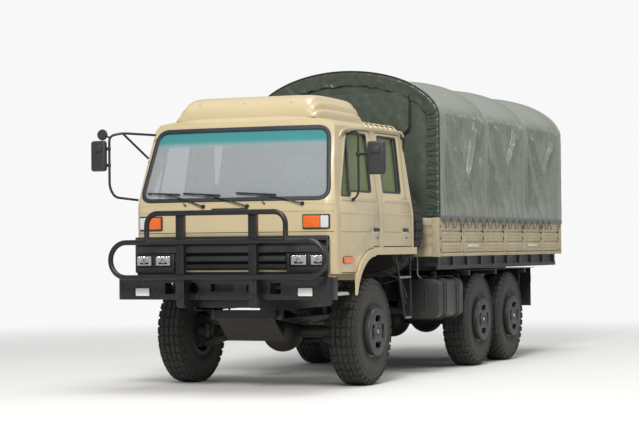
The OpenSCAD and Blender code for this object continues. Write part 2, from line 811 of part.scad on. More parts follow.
// Raised air scoop on the roof
module roof_scoop() {
    y0 = fa - 770;
    y1 = fa + 640;
    color("#ddd3ba") intersection() {
        along_x(-1000, 1000) polygon(rounded([[y0, 2900], [y0 + 40, 3000], [y0 + 270, 3200], [fa, 3195],
            [y1 - 130, 3185], [y1, 3010], [y1, 2900]], [0, 40, 140, 0, 60, 0, 0]));
        along_y(y0 - 10, y1 + 10) polygon(rounded([[-850, 2900], [850, 2900], [850, 3040], [760, 3205],
            [-760, 3205], [-850, 3040]], [0, 0, 60, 60, 60, 60]));
        difference() {
            box([-1000, y0 - 10, 2890], [1000, y1 + 10, 3300]);
            cab_form(-0.3);
        }
    }
}

module dashboard() {
    color("#2f3133") intersection() {
        cab_form(wall_t + 8);
        along_x(-1100, 1100) polygon(rounded([[cab_y0 + 65, 1700], [cab_y0 + 300, 1640], [cab_y0 + 420, 1900],
            [cab_y0 + 330, 2010], [cab_y0 + 65, 2000]], [0, 60, 60, 60, 0]));
    }
}

steer_x = 660;

module steering_wheel() {
    hub = [steer_x, fa - 600, 2190];
    color(black_paint) translate(hub) rotate([-28, 0, 0]) {
        rotate_extrude($fn = 64) translate([235, 0]) circle(14);
        cylinder(r = 55, h = 30, center = true);
        for (a = [30, 150, 270]) rotate([0, 0, a]) translate([40, -14, -6]) cube([190, 28, 12]);
        translate([0, 0, -270]) cylinder(r = 26, h = 270);
    }
}

// Two front seats and a rear bench, each with its base and back
module seats() {
    color("#55606a") {
        both_sides() {
            seat(620, fa - 330, 560, 1300);
            box([420, fa - 300, 1495], [820, fa + 20, 1640]);
        }
        seat(0, fa + 530, 2000, 1560);
    }
}

// A cushion w wide at (x, y) whose base stands on z, with its backrest
module seat(x, y, w, z) {
    pad = 130;
    cushion_z = max(z + 155, 1640);
    box([x - w / 2, y, cushion_z], [x + w / 2, y + 480, cushion_z + pad]);
    translate([x - w / 2, y + 480, cushion_z + pad - 40]) rotate([-10, 0, 0]) cube([w, 110, 560]);
    if (w > 1000) box([x - w / 2 + 60, y + 60, z], [x + w / 2 - 60, y + 400, cushion_z]);
}

// ---------- mirrors ----------

// The left mirror stands on a pole that hangs from the front door
module mirror_left() {
    pole_x = 1270;
    pole_y = fa - 600;
    low = 2090;
    top = 2775;
    color(black_paint) {
        strut([pole_x, pole_y, low], [pole_x, pole_y, top], 12);
        strut([pole_x, pole_y, top], [1098, fa - 500, 2748], 12);
        strut([pole_x, pole_y, low], [1184, pole_y + 60, 2030], 12);
        strut([pole_x, pole_y, 2520], [1400, pole_y - 10, 2520], 14);
        box([1385, pole_y - 55, 2297], [1590, pole_y + 15, 2655]);
    }
}

// The right mirror stands forward on arms from the windscreen pillar
module mirror_right() {
    head_y = fa - 1320;
    color(black_paint) mirror([1, 0, 0]) {
        strut([1150, cab_y0 + 60, 2060], [1330, head_y + 40, 2090], 12);
        strut([1330, head_y + 40, 2090], [1370, head_y, 2300], 12);
        strut([1370, head_y, 2300], [1370, head_y, 2760], 12);
        strut([1370, head_y, 2760], [1240, head_y + 60, 2790], 12);
        strut([1240, head_y + 60, 2790], [1025, cab_y0 + 245, 2780], 12);
        strut([1240, head_y + 60, 2790], [1080, cab_y0 + 180, 2520], 12);
        box([1405, head_y - 35, 2375], [1590, head_y + 35, 2710]);
        box([1370, head_y - 8, 2500], [1410, head_y + 8, 2530]);
    }
}

// ---------- bed ----------

module bed_floor() {
    sill = 80;
    skirt = 90;
    color("#8b7f60") box([-bed_half_w + 40, bed_y0 + 40, bed_floor_z - 35],
        [bed_half_w - 40, bed_y1 - 45, bed_floor_z]);
    color(black_paint) {
        both_sides() box([frame_half_w - sill, bed_y0 + 60, frame_top + 1],
            [frame_half_w, bed_y1 - 80, 1290]);
        for (i = [0:9]) box([-bed_half_w + 50, bed_y0 + 80 + i * 555, 1285],
            [bed_half_w - 50, bed_y0 + 150 + i * 555, bed_floor_z - 30]);
        both_sides() box([bed_half_w - skirt, bed_y0 + 80, 1240], [bed_half_w - skirt + 30, bed_y1 - 80, 1295]);
        both_sides() box([bed_half_w - skirt, bed_y0 + 80, 1290],
            [bed_half_w - skirt + 10, bed_y1 - 80, bed_floor_z - 30]);
    }
}

post_count = 7;
post_pitch = (bed_y1 - bed_y0 - 80) / (post_count - 1);

module bed_sides() {
    color(tan_paint) both_sides() {
        for (i = [0:post_count - 2]) box([bed_half_w - 35, bed_y0 + 40 + i * post_pitch + 35, board_low + 15],
            [bed_half_w - 5, bed_y0 + 40 + (i + 1) * post_pitch - 35, board_top]);
        for (i = [0:post_count - 1]) box([bed_half_w - 40, bed_y0 + 5 + i * post_pitch, board_low - 20],
            [bed_half_w, bed_y0 + 75 + i * post_pitch, board_top]);
        box([bed_half_w - 40, bed_y0 + 5, board_low - 20], [bed_half_w, bed_y1 - 5, board_low + 20]);
    }
}

module headboard() {
    color(tan_paint) difference() {
        box([-bed_half_w, bed_y0 - 35, board_low - 20], [bed_half_w, bed_y0, board_top + 25]);
        for (z = [1500:110:1800]) box([-bed_half_w + 60, bed_y0 - 40, z], [bed_half_w - 60, bed_y0 - 25, z + 50]);
    }
}

module tailgate() {
    color(tan_paint) {
        box([-bed_half_w, bed_y1 + 5, board_low - 20], [bed_half_w, bed_y1 + 40, board_top]);
        for (x = [-bed_half_w + 40:(2 * bed_half_w - 80) / 4:bed_half_w - 40])
            box([x - 30, bed_y1 + 38, board_low - 20], [x + 30, bed_y1 + 50, board_top]);
    }
}

// The canvas seen from behind, taken in by t: upright sides and an arched top, as [x, z]
function canvas_outline(t, low) =
    let (half = bed_half_w + 12 - t, rise = overall_h - t - spring_h)
    concat([[half, low]],
        [for (a = [90:-10:-90]) [half * sin(a), spring_h + rise * pow(max(cos(a), 0), arch_power)]],
        [[-half, low]]);

module bows() {
    top_t = canvas_t + 12;
    color("#6b6b66") for (i = [0:bow_count - 1]) {
        y = bed_y0 + 100 + i * bow_pitch;
        difference() {
            along_y(y - bow_tube, y + bow_tube) polygon(canvas_outline(top_t, board_top));
            along_y(y - 50, y + 50) polygon(canvas_outline(top_t + 2 * bow_tube, board_top - 10));
        }
    }
}

// Canvas cover: sides, arched top and front wall, open at the rear under a rolled curtain
module canopy() {
    hem = board_top + 12;
    front = bed_y0 + 20;
    roll_r = 55;
    roll_y = tail_y - 65;
    color(canvas_green) {
        difference() {
            along_y(front, tail_y) polygon(canvas_outline(0, hem));
            along_y(front + canvas_t, tail_y + 10) polygon(canvas_outline(canvas_t, hem - 50));
        }
        rod_x(roll_r, -850, 850, roll_y, overall_h - canvas_t - 260);
        for (x = [-600:600:600]) box([x - 15, roll_y - 5, overall_h - canvas_t - 215],
            [x + 15, roll_y + 5, overall_h - canvas_t / 2]);
    }
}

frame();
bumper();
bull_bar();
skid_guard();
engine();
gearbox();
drive_shafts();
front_axle();
rear_axles();
leaf_springs();
knuckle_left();
knuckle_right();
tie_rod();
tyre_front_left();
tyre_front_right();
tyre_middle_left();
tyre_middle_right();
tyre_rear_left();
tyre_rear_right();
wheel_front_left();
wheel_front_right();
wheel_middle_left();
wheel_middle_right();
wheel_rear_left();
wheel_rear_right();
fuel_tank();
battery_box();
exhaust();
cab_ladders();
spare_rack();
spare_tyre();
spare_wheel();
mudguards();
tow_hook();
cab_shell();
cab_glass();
grille();
roof_scoop();
dashboard();
steering_wheel();
seats();
front_door_left();
front_door_right();
rear_door_left();
rear_door_right();
front_glass_left();
front_glass_right();
rear_glass_left();
rear_glass_right();
mirror_left();
mirror_right();
bed_floor();
bed_sides();
headboard();
tailgate();
bows();
canopy();
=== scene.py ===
"""The finished look of a military cargo truck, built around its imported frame."""

import logging
import math
import random
from dataclasses import dataclass
from enum import Enum
from typing import Callable, Iterable, Sequence

import bmesh
import bpy
from mathutils import Matrix, Vector, noise
from mathutils.bvhtree import BVHTree


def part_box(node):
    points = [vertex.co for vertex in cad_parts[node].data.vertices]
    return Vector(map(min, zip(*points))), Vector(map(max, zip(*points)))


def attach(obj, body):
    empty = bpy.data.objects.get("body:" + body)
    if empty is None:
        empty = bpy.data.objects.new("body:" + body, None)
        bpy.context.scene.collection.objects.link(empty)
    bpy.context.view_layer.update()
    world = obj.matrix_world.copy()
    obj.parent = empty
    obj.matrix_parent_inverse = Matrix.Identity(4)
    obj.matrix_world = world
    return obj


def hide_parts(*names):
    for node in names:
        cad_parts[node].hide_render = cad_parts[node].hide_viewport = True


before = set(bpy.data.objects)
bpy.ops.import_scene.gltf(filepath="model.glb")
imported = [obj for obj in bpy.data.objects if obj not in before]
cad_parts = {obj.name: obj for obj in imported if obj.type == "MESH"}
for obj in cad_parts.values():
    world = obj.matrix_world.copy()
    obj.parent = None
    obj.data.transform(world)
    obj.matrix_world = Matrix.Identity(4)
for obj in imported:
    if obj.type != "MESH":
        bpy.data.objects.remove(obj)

LOG = logging.getLogger("truck")
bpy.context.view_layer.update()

Colour = tuple[float, float, float]
Point = tuple[float, float, float]
Flat = tuple[float, float]

FRONT_AXLE = sum((Vector(p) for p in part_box("tyre_front_left")), Vector()) / 2
MIDDLE_AXLE = sum((Vector(p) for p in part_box("tyre_middle_left")), Vector()) / 2
REAR_AXLE = sum((Vector(p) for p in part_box("tyre_rear_left")), Vector()) / 2
AXLE_Y = FRONT_AXLE.y


class Side(Enum):
    """Which side of the truck a piece is on."""

    LEFT = 1
    RIGHT = -1

    @property
    def word(self) -> str:
        """The side's name as the frame writes it."""
        return self.name.lower()


# ---------------------------------------------------------------- shader graphs


class Graph:
    """Adds nodes to a shader tree and joins them in a few words."""

    def __init__(self, tree: bpy.types.NodeTree) -> None:
        """Keeps the tree that the nodes go to."""
        self.tree = tree

    def node(self, kind: str, **settings: object) -> bpy.types.Node:
        """Adds one node.

        Args:
            kind: The node's type name.
            **settings: Properties to set on it.

        Returns:
            The new node.
        """
        made = self.tree.nodes.new(kind)
        for key, value in settings.items():
            setattr(made, key, value)
        return made

    def put(self, socket: bpy.types.NodeSocket, value: object) -> None:
        """Joins an output to a socket, or sets the socket's own value.

        Args:
            socket: The input to fill.
            value: An output socket or a plain value.
        """
        if isinstance(value, bpy.types.NodeSocket):
            self.tree.links.new(value, socket)
        else:
            socket.default_value = value

    def maths(self, operation: str, a: object, b: object = 0.0, clamp: bool = False) -> bpy.types.NodeSocket:
        """Adds a Math node.

        Args:
            operation: The node's operation.
            a: First value or output.
            b: Second value or output.
            clamp: Keeps the result from 0 to 1.

        Returns:
            The result's socket.
        """
        made = self.node("ShaderNodeMath", operation=operation, use_clamp=clamp)
        self.put(made.inputs[0], a)
        self.put(made.inputs[1], b)
        return made.outputs[0]

    def blend(self, mask: object, a: object, b: object) -> bpy.types.NodeSocket:
        """Mixes two colours by a mask.

        Args:
            mask: 0 gives a and 1 gives b.
            a: First colour.
            b: Second colour.

        Returns:
            The mixed colour's socket.
        """
        made = self.node("ShaderNodeMix", data_type="RGBA")
        for socket, value in ((made.inputs[0], mask), (made.inputs[6], a), (made.inputs[7], b)):
            self.put(socket, value)
        return made.outputs[2]

    def ramp(self, value: object, low: float, high: float, to: Flat = (0.0, 1.0)) -> bpy.types.NodeSocket:
        """Maps a value's span smoothly onto another.

        Args:
            value: The value to map.
            low: Where the span starts.
            high: Where it ends.
            to: The results at its two ends.

        Returns:
            The mapped value's socket.
        """
        made = self.node("ShaderNodeMapRange", interpolation_type="SMOOTHSTEP")
        for index, item in enumerate((value, low, high, *to)):
            self.put(made.inputs[index], item)
        return made.outputs[0]

    def noise(self, vector: object, scale: object, detail: float = 4.0,
            rough: float = 0.55) -> bpy.types.NodeSocket:
        """Adds a noise texture.

        Args:
            vector: Where it is read.
            scale: Its scale.
            detail: Its octaves.
            rough: Its roughness.

        Returns:
            The noise value's socket.
        """
        made = self.node("ShaderNodeTexNoise")
        self.put(made.inputs["Vector"], vector)
        self.put(made.inputs["Scale"], scale)
        made.inputs["Detail"].default_value = detail
        made.inputs["Roughness"].default_value = rough
        return made.outputs[0]

    def place(self) -> bpy.types.NodeSocket:
        """The point's own place on the object, in metres."""
        return self.node("ShaderNodeTexCoord").outputs["Object"]


def shader_group(name: str, inputs: dict[str, float], output: str, build: Callable) -> bpy.types.NodeTree:
    """Makes one shared effect as a node group, once.

    Args:
        name: The group's name.
        inputs: Each input's name and first value.
        output: The name of its one output.
        build: Takes the graph and the input sockets and gives the output's value.

    Returns:
        The group.
    """
    found = bpy.data.node_groups.get(name)
    if found:
        return found
    tree = bpy.data.node_groups.new(name, "ShaderNodeTree")
    for key, value in inputs.items():
        socket = tree.interface.new_socket(name=key, in_out="INPUT", socket_type="NodeSocketFloat")
        socket.default_value = value
    tree.interface.new_socket(name=output, in_out="OUTPUT", socket_type="NodeSocketFloat")
    graph = Graph(tree)
    start = graph.node("NodeGroupInput")
    end = graph.node("NodeGroupOutput")
    graph.put(end.inputs[0], build(graph, start.outputs))
    return tree


def mottle(graph: Graph, given: bpy.types.bpy_prop_collection) -> bpy.types.NodeSocket:
    """Soft cloudy patches of uneven colour."""
    cloud = graph.noise(graph.place(), given["Scale"], 5.0, 0.6)
    return graph.maths("MULTIPLY", graph.ramp(cloud, 0.35, 0.7), given["Amount"], True)


def road_dust(graph: Graph, given: bpy.types.bpy_prop_collection) -> bpy.types.NodeSocket:
    """Dust that grows thicker towards the ground and lies on level faces."""
    split = graph.node("ShaderNodeSeparateXYZ")
    graph.put(split.inputs[0], graph.place())
    face = graph.node("ShaderNodeSeparateXYZ")
    graph.put(face.inputs[0], graph.node("ShaderNodeNewGeometry").outputs["Normal"])
    low = graph.ramp(split.outputs[2], given["Top"], 0.2)
    lying = graph.maths("MULTIPLY", graph.ramp(face.outputs[2], 0.55, 1.0), 0.5)
    patch = graph.ramp(graph.noise(graph.place(), 7.0, 6.0, 0.65), 0.3, 0.72, (0.25, 1.0))
    both = graph.maths("ADD", low, lying, True)
    return graph.maths("MULTIPLY", graph.maths("MULTIPLY", both, patch), given["Amount"], True)


def edge_wear(graph: Graph, given: bpy.types.bpy_prop_collection) -> bpy.types.NodeSocket:
    """Rubbed outer edges, broken up by noise."""
    edge = graph.ramp(graph.node("ShaderNodeNewGeometry").outputs["Pointiness"], 0.52, 0.6)
    broken = graph.ramp(graph.noise(graph.place(), 22.0, 5.0, 0.7), 0.42, 0.62)
    return graph.maths("MULTIPLY", graph.maths("MULTIPLY", edge, broken), given["Amount"], True)


def grain(graph: Graph, given: bpy.types.bpy_prop_collection) -> bpy.types.NodeSocket:
    """Fine surface grain as a height."""
    return graph.noise(graph.place(), given["Scale"], 3.0, 0.6)


def weave(graph: Graph, given: bpy.types.bpy_prop_collection) -> bpy.types.NodeSocket:
    """Crossed threads as a height."""
    total: object = 0.0
    for direction in ("X", "Y", "Z"):
        made = graph.node("ShaderNodeTexWave", bands_direction=direction)
        graph.put(made.inputs["Vector"], graph.place())
        graph.put(made.inputs["Scale"], given["Scale"])
        total = graph.maths("ADD", total, graph.maths("MULTIPLY", made.outputs[1], 0.33))
    return total


class Effect(Enum):
    """The shared effects: name, inputs, output and how each is built."""

    MOTTLE = ("Mottle", {"Scale": 2.0, "Amount": 0.3}, "Mask", mottle)
    DUST = ("Road dust", {"Top": 1.2, "Amount": 0.4}, "Mask", road_dust)
    WEAR = ("Edge wear", {"Amount": 0.3}, "Mask", edge_wear)
    GRAIN = ("Grain", {"Scale": 300.0}, "Height", grain)
    WEAVE = ("Weave", {"Scale": 120.0}, "Height", weave)

    def use(self, graph: Graph, **values: float) -> bpy.types.NodeSocket:
        """Places this effect in a material.

        Args:
            graph: The material's graph.
            **values: The group's inputs, by name.

        Returns:
            The effect's output.
        """
        name, inputs, output, build = self.value
        made = graph.node("ShaderNodeGroup", node_tree=shader_group(name, inputs, output, build))
        for key, value in values.items():
            made.inputs[key].default_value = value
        return made.outputs[0]


# ---------------------------------------------------------------- finishes


@dataclass(frozen=True)
class Finish:
    """A surface finish: a base colour with patches, dust, wear and grain.

    Attributes:
        name: The material's name.
        colour: Main colour.
        second: Colour of its uneven patches.
        rough: Roughness where it is clean.
        metal: How metallic it is.
        patches: Strength of the uneven colour.
        patch_scale: Scale of the uneven colour.
        dust: Strength of the road dust.
        dust_top: Height where the dust starts.
        wear: Strength of the rubbed edges.
        worn: Colour under the rubbed edges.
        grain_scale: Scale of the fine grain.
        grain_depth: Depth of the grain, in metres.
        coat: Strength of a clear coat.
    """

    name: str
    colour: Colour
    second: Colour
    rough: float = 0.45
    metal: float = 0.0
    patches: float = 0.35
    patch_scale: float = 2.5
    dust: float = 0.0
    dust_top: float = 1.2
    wear: float = 0.0
    worn: Colour = (0.30, 0.29, 0.27)
    grain_scale: float = 260.0
    grain_depth: float = 0.0006
    coat: float = 0.0

    DUST_COLOUR = (0.21, 0.17, 0.125, 1.0)

    def material(self) -> bpy.types.Material:
        """The finish as a material, made once."""
        found = bpy.data.materials.get(self.name)
        if found:
            return found
        made = bpy.data.materials.new(self.name)
        made.use_nodes = True
        graph = Graph(made.node_tree)
        self.dress(graph, graph.tree.nodes["Principled BSDF"])
        return made

    def dress(self, graph: Graph, surface: bpy.types.Node) -> None:
        """Fills the material's surface.

        Args:
            graph: The material's graph.
            surface: Its Principled BSDF.
        """
        patch = Effect.MOTTLE.use(graph, Scale=self.patch_scale, Amount=self.patches)
        colour = graph.blend(patch, (*self.colour, 1.0), (*self.second, 1.0))
        shine = graph.maths("ADD", graph.maths("MULTIPLY", patch, 0.12), self.rough)
        if self.wear > 0:
            rubbed = Effect.WEAR.use(graph, Amount=self.wear)
            colour = graph.blend(rubbed, colour, (*self.worn, 1.0))
        if self.dust > 0:
            dusty = Effect.DUST.use(graph, Top=self.dust_top, Amount=self.dust)
            colour = graph.blend(dusty, colour, self.DUST_COLOUR)
            shine = graph.maths("ADD", shine, graph.maths("MULTIPLY", dusty, 0.45), True)
        graph.put(surface.inputs["Base Color"], colour)
        graph.put(surface.inputs["Roughness"], shine)
        surface.inputs["Metallic"].default_value = self.metal
        surface.inputs["Coat Weight"].default_value = self.coat
        surface.inputs["Coat Roughness"].default_value = 0.12
        self.relief(graph, surface, Effect.GRAIN.use(graph, Scale=self.grain_scale))

    def relief(self, graph: Graph, surface: bpy.types.Node, height: bpy.types.NodeSocket) -> None:
        """Joins a height to the surface's normal.

        Args:
            graph: The material's graph.
            surface: Its Principled BSDF.
            height: The height's socket.
        """
        bump = graph.node("ShaderNodeBump")
        bump.inputs["Distance"].default_value = self.grain_depth
        graph.put(bump.inputs["Height"], height)
        graph.put(surface.inputs["Normal"], bump.outputs[0])


@dataclass(frozen=True)
class Canvas(Finish):
    """Coated canvas: a weave under a soft gloss, with rubbed pale patches."""

    weave_scale: float = 95.0

    def dress(self, graph: Graph, surface: bpy.types.Node) -> None:
        """Fills the cloth's surface.

        Args:
            graph: The material's graph.
            surface: Its Principled BSDF.
        """
        patch = Effect.MOTTLE.use(graph, Scale=self.patch_scale, Amount=self.patches)
        scuff = Effect.MOTTLE.use(graph, Scale=14.0, Amount=0.22)
        colour = graph.blend(patch, (*self.colour, 1.0), (*self.second, 1.0))
        colour = graph.blend(scuff, colour, (*self.worn, 1.0))
        graph.put(surface.inputs["Base Color"], colour)
        shine = graph.maths("ADD", graph.maths("MULTIPLY", scuff, 0.3), self.rough)
        graph.put(surface.inputs["Roughness"], shine)
        surface.inputs["Sheen Weight"].default_value = 0.12
        surface.inputs["Sheen Roughness"].default_value = 0.5
        threads = Effect.WEAVE.use(graph, Scale=self.weave_scale)
        crinkle = graph.noise(graph.place(), 13.0, 4.0, 0.55)
        height = graph.maths("ADD", graph.maths("MULTIPLY", threads, 0.12),
            graph.maths("MULTIPLY", crinkle, 1.3))
        self.relief(graph, surface, height)


@dataclass(frozen=True)
class Pane(Finish):
    """Window glass, with a tinted band above a given height."""

    band_low: float = 99.0
    band: Colour = (0.06, 0.27, 0.28)
    clear: float = 0.8

    def dress(self, graph: Graph, surface: bpy.types.Node) -> None:
        """Fills the glass's surface.

        Args:
            graph: The material's graph.
            surface: Its Principled BSDF.
        """
        split = graph.node("ShaderNodeSeparateXYZ")
        graph.put(split.inputs[0], graph.place())
        top = graph.ramp(split.outputs[2], self.band_low, self.band_low + 0.10)
        graph.put(surface.inputs["Base Color"], graph.blend(top, (*self.colour, 1.0), (*self.band, 1.0)))
        film = graph.ramp(graph.noise(graph.place(), 5.0, 4.0), 0.4, 0.8, (0.0, 0.05))
        graph.put(surface.inputs["Roughness"], graph.maths("ADD", film, self.rough))
        solid = graph.maths("MULTIPLY", top, 0.55)
        graph.put(surface.inputs["Alpha"], graph.maths("ADD", solid, 1.0 - self.clear, True))
        surface.inputs["IOR"].default_value = 1.5


@dataclass(frozen=True)
class Lens(Finish):
    """A lamp's moulded lens, with fine flutes over a bright bowl."""

    flutes: float = 55.0
    glow: float = 0.0

    def dress(self, graph: Graph, surface: bpy.types.Node) -> None:
        """Fills the lens's surface.

        Args:
            graph: The material's graph.
            surface: Its Principled BSDF.
        """
        wave = graph.node("ShaderNodeTexWave", bands_direction="X")
        graph.put(wave.inputs["Vector"], graph.place())
        wave.inputs["Scale"].default_value = self.flutes
        wave.inputs["Distortion"].default_value = 0.6
        mask = graph.maths("MULTIPLY", wave.outputs[1], 0.45)
        graph.put(surface.inputs["Base Color"], graph.blend(mask, (*self.colour, 1.0), (*self.second, 1.0)))
        surface.inputs["Roughness"].default_value = self.rough
        surface.inputs["Metallic"].default_value = self.metal
        surface.inputs["Coat Weight"].default_value = 1.0
        surface.inputs["Coat Roughness"].default_value = 0.04
        surface.inputs["Emission Color"].default_value = (*self.colour, 1.0)
        surface.inputs["Emission Strength"].default_value = self.glow
        self.relief(graph, surface, wave.outputs[1])


SAND = Finish("sand paint", (0.56, 0.465, 0.285), (0.50, 0.40, 0.225), 0.28, patches=0.5, patch_scale=1.3,
              dust=0.35, dust_top=1.25, wear=0.12, coat=0.35, grain_scale=180.0, grain_depth=0.0004)
BOARD = Finish("board paint", (0.45, 0.385, 0.25), (0.37, 0.31, 0.20), 0.5, patches=0.7, patch_scale=4.0,
               dust=0.3, dust_top=1.7, wear=0.35, worn=(0.16, 0.12, 0.09), grain_scale=120.0)
BLACK = Finish("chassis black", (0.008, 0.008, 0.0085), (0.014, 0.014, 0.0145), 0.42, patches=0.6,
    patch_scale=6.0, dust=0.22, dust_top=1.0, wear=0.25, worn=(0.09, 0.085, 0.08), grain_scale=160.0,
    grain_depth=0.0009)
GUARD = Finish("guard black", (0.007, 0.0073, 0.008), (0.011, 0.0113, 0.012), 0.36, patches=0.5,
    patch_scale=9.0, dust=0.03, dust_top=1.3, wear=0.15, worn=(0.06, 0.06, 0.06), grain_scale=420.0,
    grain_depth=0.0007)
TANK = Finish("tank grey", (0.022, 0.0225, 0.023), (0.03, 0.0305, 0.031), 0.36, patches=0.5, patch_scale=3.0,
              dust=0.3, dust_top=1.0, wear=0.2, grain_scale=200.0)
WHEEL = Finish("wheel grey", (0.017, 0.018, 0.0195), (0.024, 0.025, 0.027), 0.4, patches=0.5, patch_scale=8.0,
               dust=0.12, dust_top=1.1, wear=0.3, worn=(0.2, 0.2, 0.2), grain_scale=240.0)
TREAD = Finish("tread rubber", (0.0095, 0.0095, 0.0095), (0.02, 0.019, 0.018), 0.62, patches=0.8,
    patch_scale=9.0, dust=0.06, dust_top=1.4, grain_scale=320.0, grain_depth=0.0012)
WALL = Finish("side wall rubber", (0.019, 0.0185, 0.0178), (0.032, 0.0295, 0.027), 0.6, patches=0.9,
    patch_scale=5.0, dust=0.10, dust_top=1.5, grain_scale=280.0, grain_depth=0.001)
GRILLE = Finish("grille grey", (0.024, 0.026, 0.026), (0.032, 0.034, 0.034), 0.4, patches=0.4,
    patch_scale=8.0, dust=0.04, dust_top=1.4, grain_scale=300.0)
# Near-black fill behind the grille's slats: painted shade of the hollow behind them.
GRILLE_SHADE_FILL = Finish("painted shade behind grille", (0.004, 0.004, 0.0045), (0.006, 0.006, 0.006), 0.8)
SEAL = Finish("seal rubber", (0.018, 0.020, 0.026), (0.03, 0.032, 0.037), 0.5, grain_scale=500.0)
TRIM = Finish("black plastic", (0.012, 0.012, 0.013), (0.02, 0.02, 0.021), 0.4, grain_scale=600.0,
    grain_depth=0.0004)
CAST = Finish("dark casting", (0.03, 0.03, 0.031), (0.05, 0.045, 0.04), 0.62, patches=0.8, patch_scale=10.0,
              dust=0.4, dust_top=1.4, grain_scale=90.0, grain_depth=0.002)
PIPE = Finish("heated steel", (0.075, 0.062, 0.05), (0.11, 0.07, 0.045), 0.55, 0.6, patches=0.9,
    patch_scale=7.0, grain_scale=150.0)
PLANK = Finish("floor planks", (0.26, 0.19, 0.115), (0.17, 0.125, 0.08), 0.72, patches=0.9, patch_scale=3.0,
               grain_scale=70.0, grain_depth=0.0015)
STEEL = Finish("bow paint", (0.10, 0.105, 0.09), (0.14, 0.14, 0.12), 0.5, wear=0.3, grain_scale=240.0)
BRIGHT = Finish("bright metal", (0.55, 0.56, 0.57), (0.4, 0.4, 0.4), 0.25, 1.0, grain_scale=400.0,
    grain_depth=0.0003)
SEAT = Finish("seat cloth", (0.11, 0.125, 0.145), (0.16, 0.17, 0.185), 0.85, patches=0.6, patch_scale=5.0,
              grain_scale=420.0, grain_depth=0.0015)
ROPE = Finish("black rope", (0.015, 0.015, 0.014), (0.03, 0.03, 0.028), 0.8, grain_scale=700.0,
    grain_depth=0.0012)
PALE = Finish("pale hook", (0.66, 0.66, 0.62), (0.5, 0.5, 0.46), 0.4, wear=0.2, grain_scale=300.0)
PIN = Finish("rust red pin", (0.22, 0.055, 0.03), (0.3, 0.1, 0.05), 0.6, grain_scale=300.0)
PALE_HOSE = Finish("pale hose", (0.30, 0.30, 0.26), (0.22, 0.22, 0.19), 0.5, grain_scale=300.0)
WORN = Finish("worn tube", (0.18, 0.19, 0.19), (0.30, 0.31, 0.31), 0.4, 0.5, patches=0.8, patch_scale=14.0)
TREAD_PLATE = Finish("tread plate", (0.55, 0.55, 0.52), (0.42, 0.42, 0.40), 0.42, 0.6, patches=0.6,
    patch_scale=20.0, wear=0.3, worn=(0.7, 0.7, 0.7))
# Thin dark lines that paint the shade of pressed grooves, on the doors and on the boards' ribs.
GROOVE_SHADE_LINE = Finish("painted groove shade", (0.20, 0.165, 0.09), (0.16, 0.13, 0.07), 0.6)
PALE_RIM = Finish("pale handle rim", (0.62, 0.60, 0.52), (0.50, 0.48, 0.40), 0.35, coat=0.3)
TRIM_SOFT = Finish("grained black plastic", (0.026, 0.027, 0.030), (0.036, 0.037, 0.040), 0.42, patches=0.4,
                   patch_scale=12.0, grain_scale=520.0, grain_depth=0.0009)
DASH = Finish("grey dash plastic", (0.20, 0.21, 0.22), (0.16, 0.17, 0.18), 0.6, grain_scale=500.0,
    grain_depth=0.0008)
COVER = Canvas("coated canvas", (0.150, 0.172, 0.134), (0.185, 0.208, 0.168), 0.22, patches=0.6,
    patch_scale=1.1, worn=(0.225, 0.245, 0.205), grain_depth=0.0016)
# A darker copy of the coated canvas as painted shade, for the front wall, the gathered edge and the flap,
# which lie in shade, and for the hem tape.
SHADED_CANVAS = Canvas("canvas darkened for shade", (0.045, 0.060, 0.044), (0.060, 0.076, 0.058), 0.30, patches=0.6,
    patch_scale=2.0, worn=(0.11, 0.135, 0.11), grain_depth=0.0016)
SCREEN = Pane("windscreen glass", (0.52, 0.565, 0.60), (0, 0, 0), 0.03, band_low=2.60, clear=0.66)
WINDOW = Pane("side glass", (0.20, 0.26, 0.11), (0, 0, 0), 0.03, clear=0.50)
HEAD_LENS = Lens("headlamp lens", (0.80, 0.83, 0.85), (0.28, 0.30, 0.32), 0.12, metal=0.75,
    grain_depth=0.002, flutes=26.0)
FOG_LENS = Lens("fog lamp lens", (0.84, 0.84, 0.80), (0.55, 0.56, 0.55), 0.2, metal=0.3, grain_depth=0.002,
    flutes=20.0)
AMBER = Lens("amber lens", (0.86, 0.16, 0.008), (0.62, 0.075, 0.003), 0.2, grain_depth=0.0015, glow=0.04)
CLEAR_LENS = Lens("clear lens", (0.75, 0.76, 0.75), (0.48, 0.50, 0.50), 0.2, grain_depth=0.0015)
RED_LENS = Lens("red lens", (0.55, 0.01, 0.008), (0.4, 0.005, 0.005), 0.2, grain_depth=0.0015)
MIRROR = Finish("mirror face", (0.85, 0.87, 0.88), (0.85, 0.87, 0.88), 0.02, 1.0, grain_depth=0.0)


# ---------------------------------------------------------------- shapes


def box_shape(low: Sequence[float], high: Sequence[float], bevel: float = 0.004,
        segments: int = 2) -> bmesh.types.BMesh:
    """A box with rounded edges.

    Args:
        low: Lowest corner.
        high: Highest corner.
        bevel: Radius of its edges, cut down on a thin box.
        segments: Steps round each edge.

    Returns:
        The shape.
    """
    low, high = Vector(low), Vector(high)
    size = high - low
    shape = bmesh.new()
    bmesh.ops.create_cube(shape, size=1.0, matrix=Matrix.Translation((low
        + high) / 2) @ Matrix.Diagonal((*size, 1.0)))
    radius = min(bevel, 0.45 * min(size))
    if radius > 0:
        bmesh.ops.bevel(shape, geom=shape.edges[:], offset=radius, segments=segments, profile=0.5,
                        affect="EDGES", material=-1)
    return shape


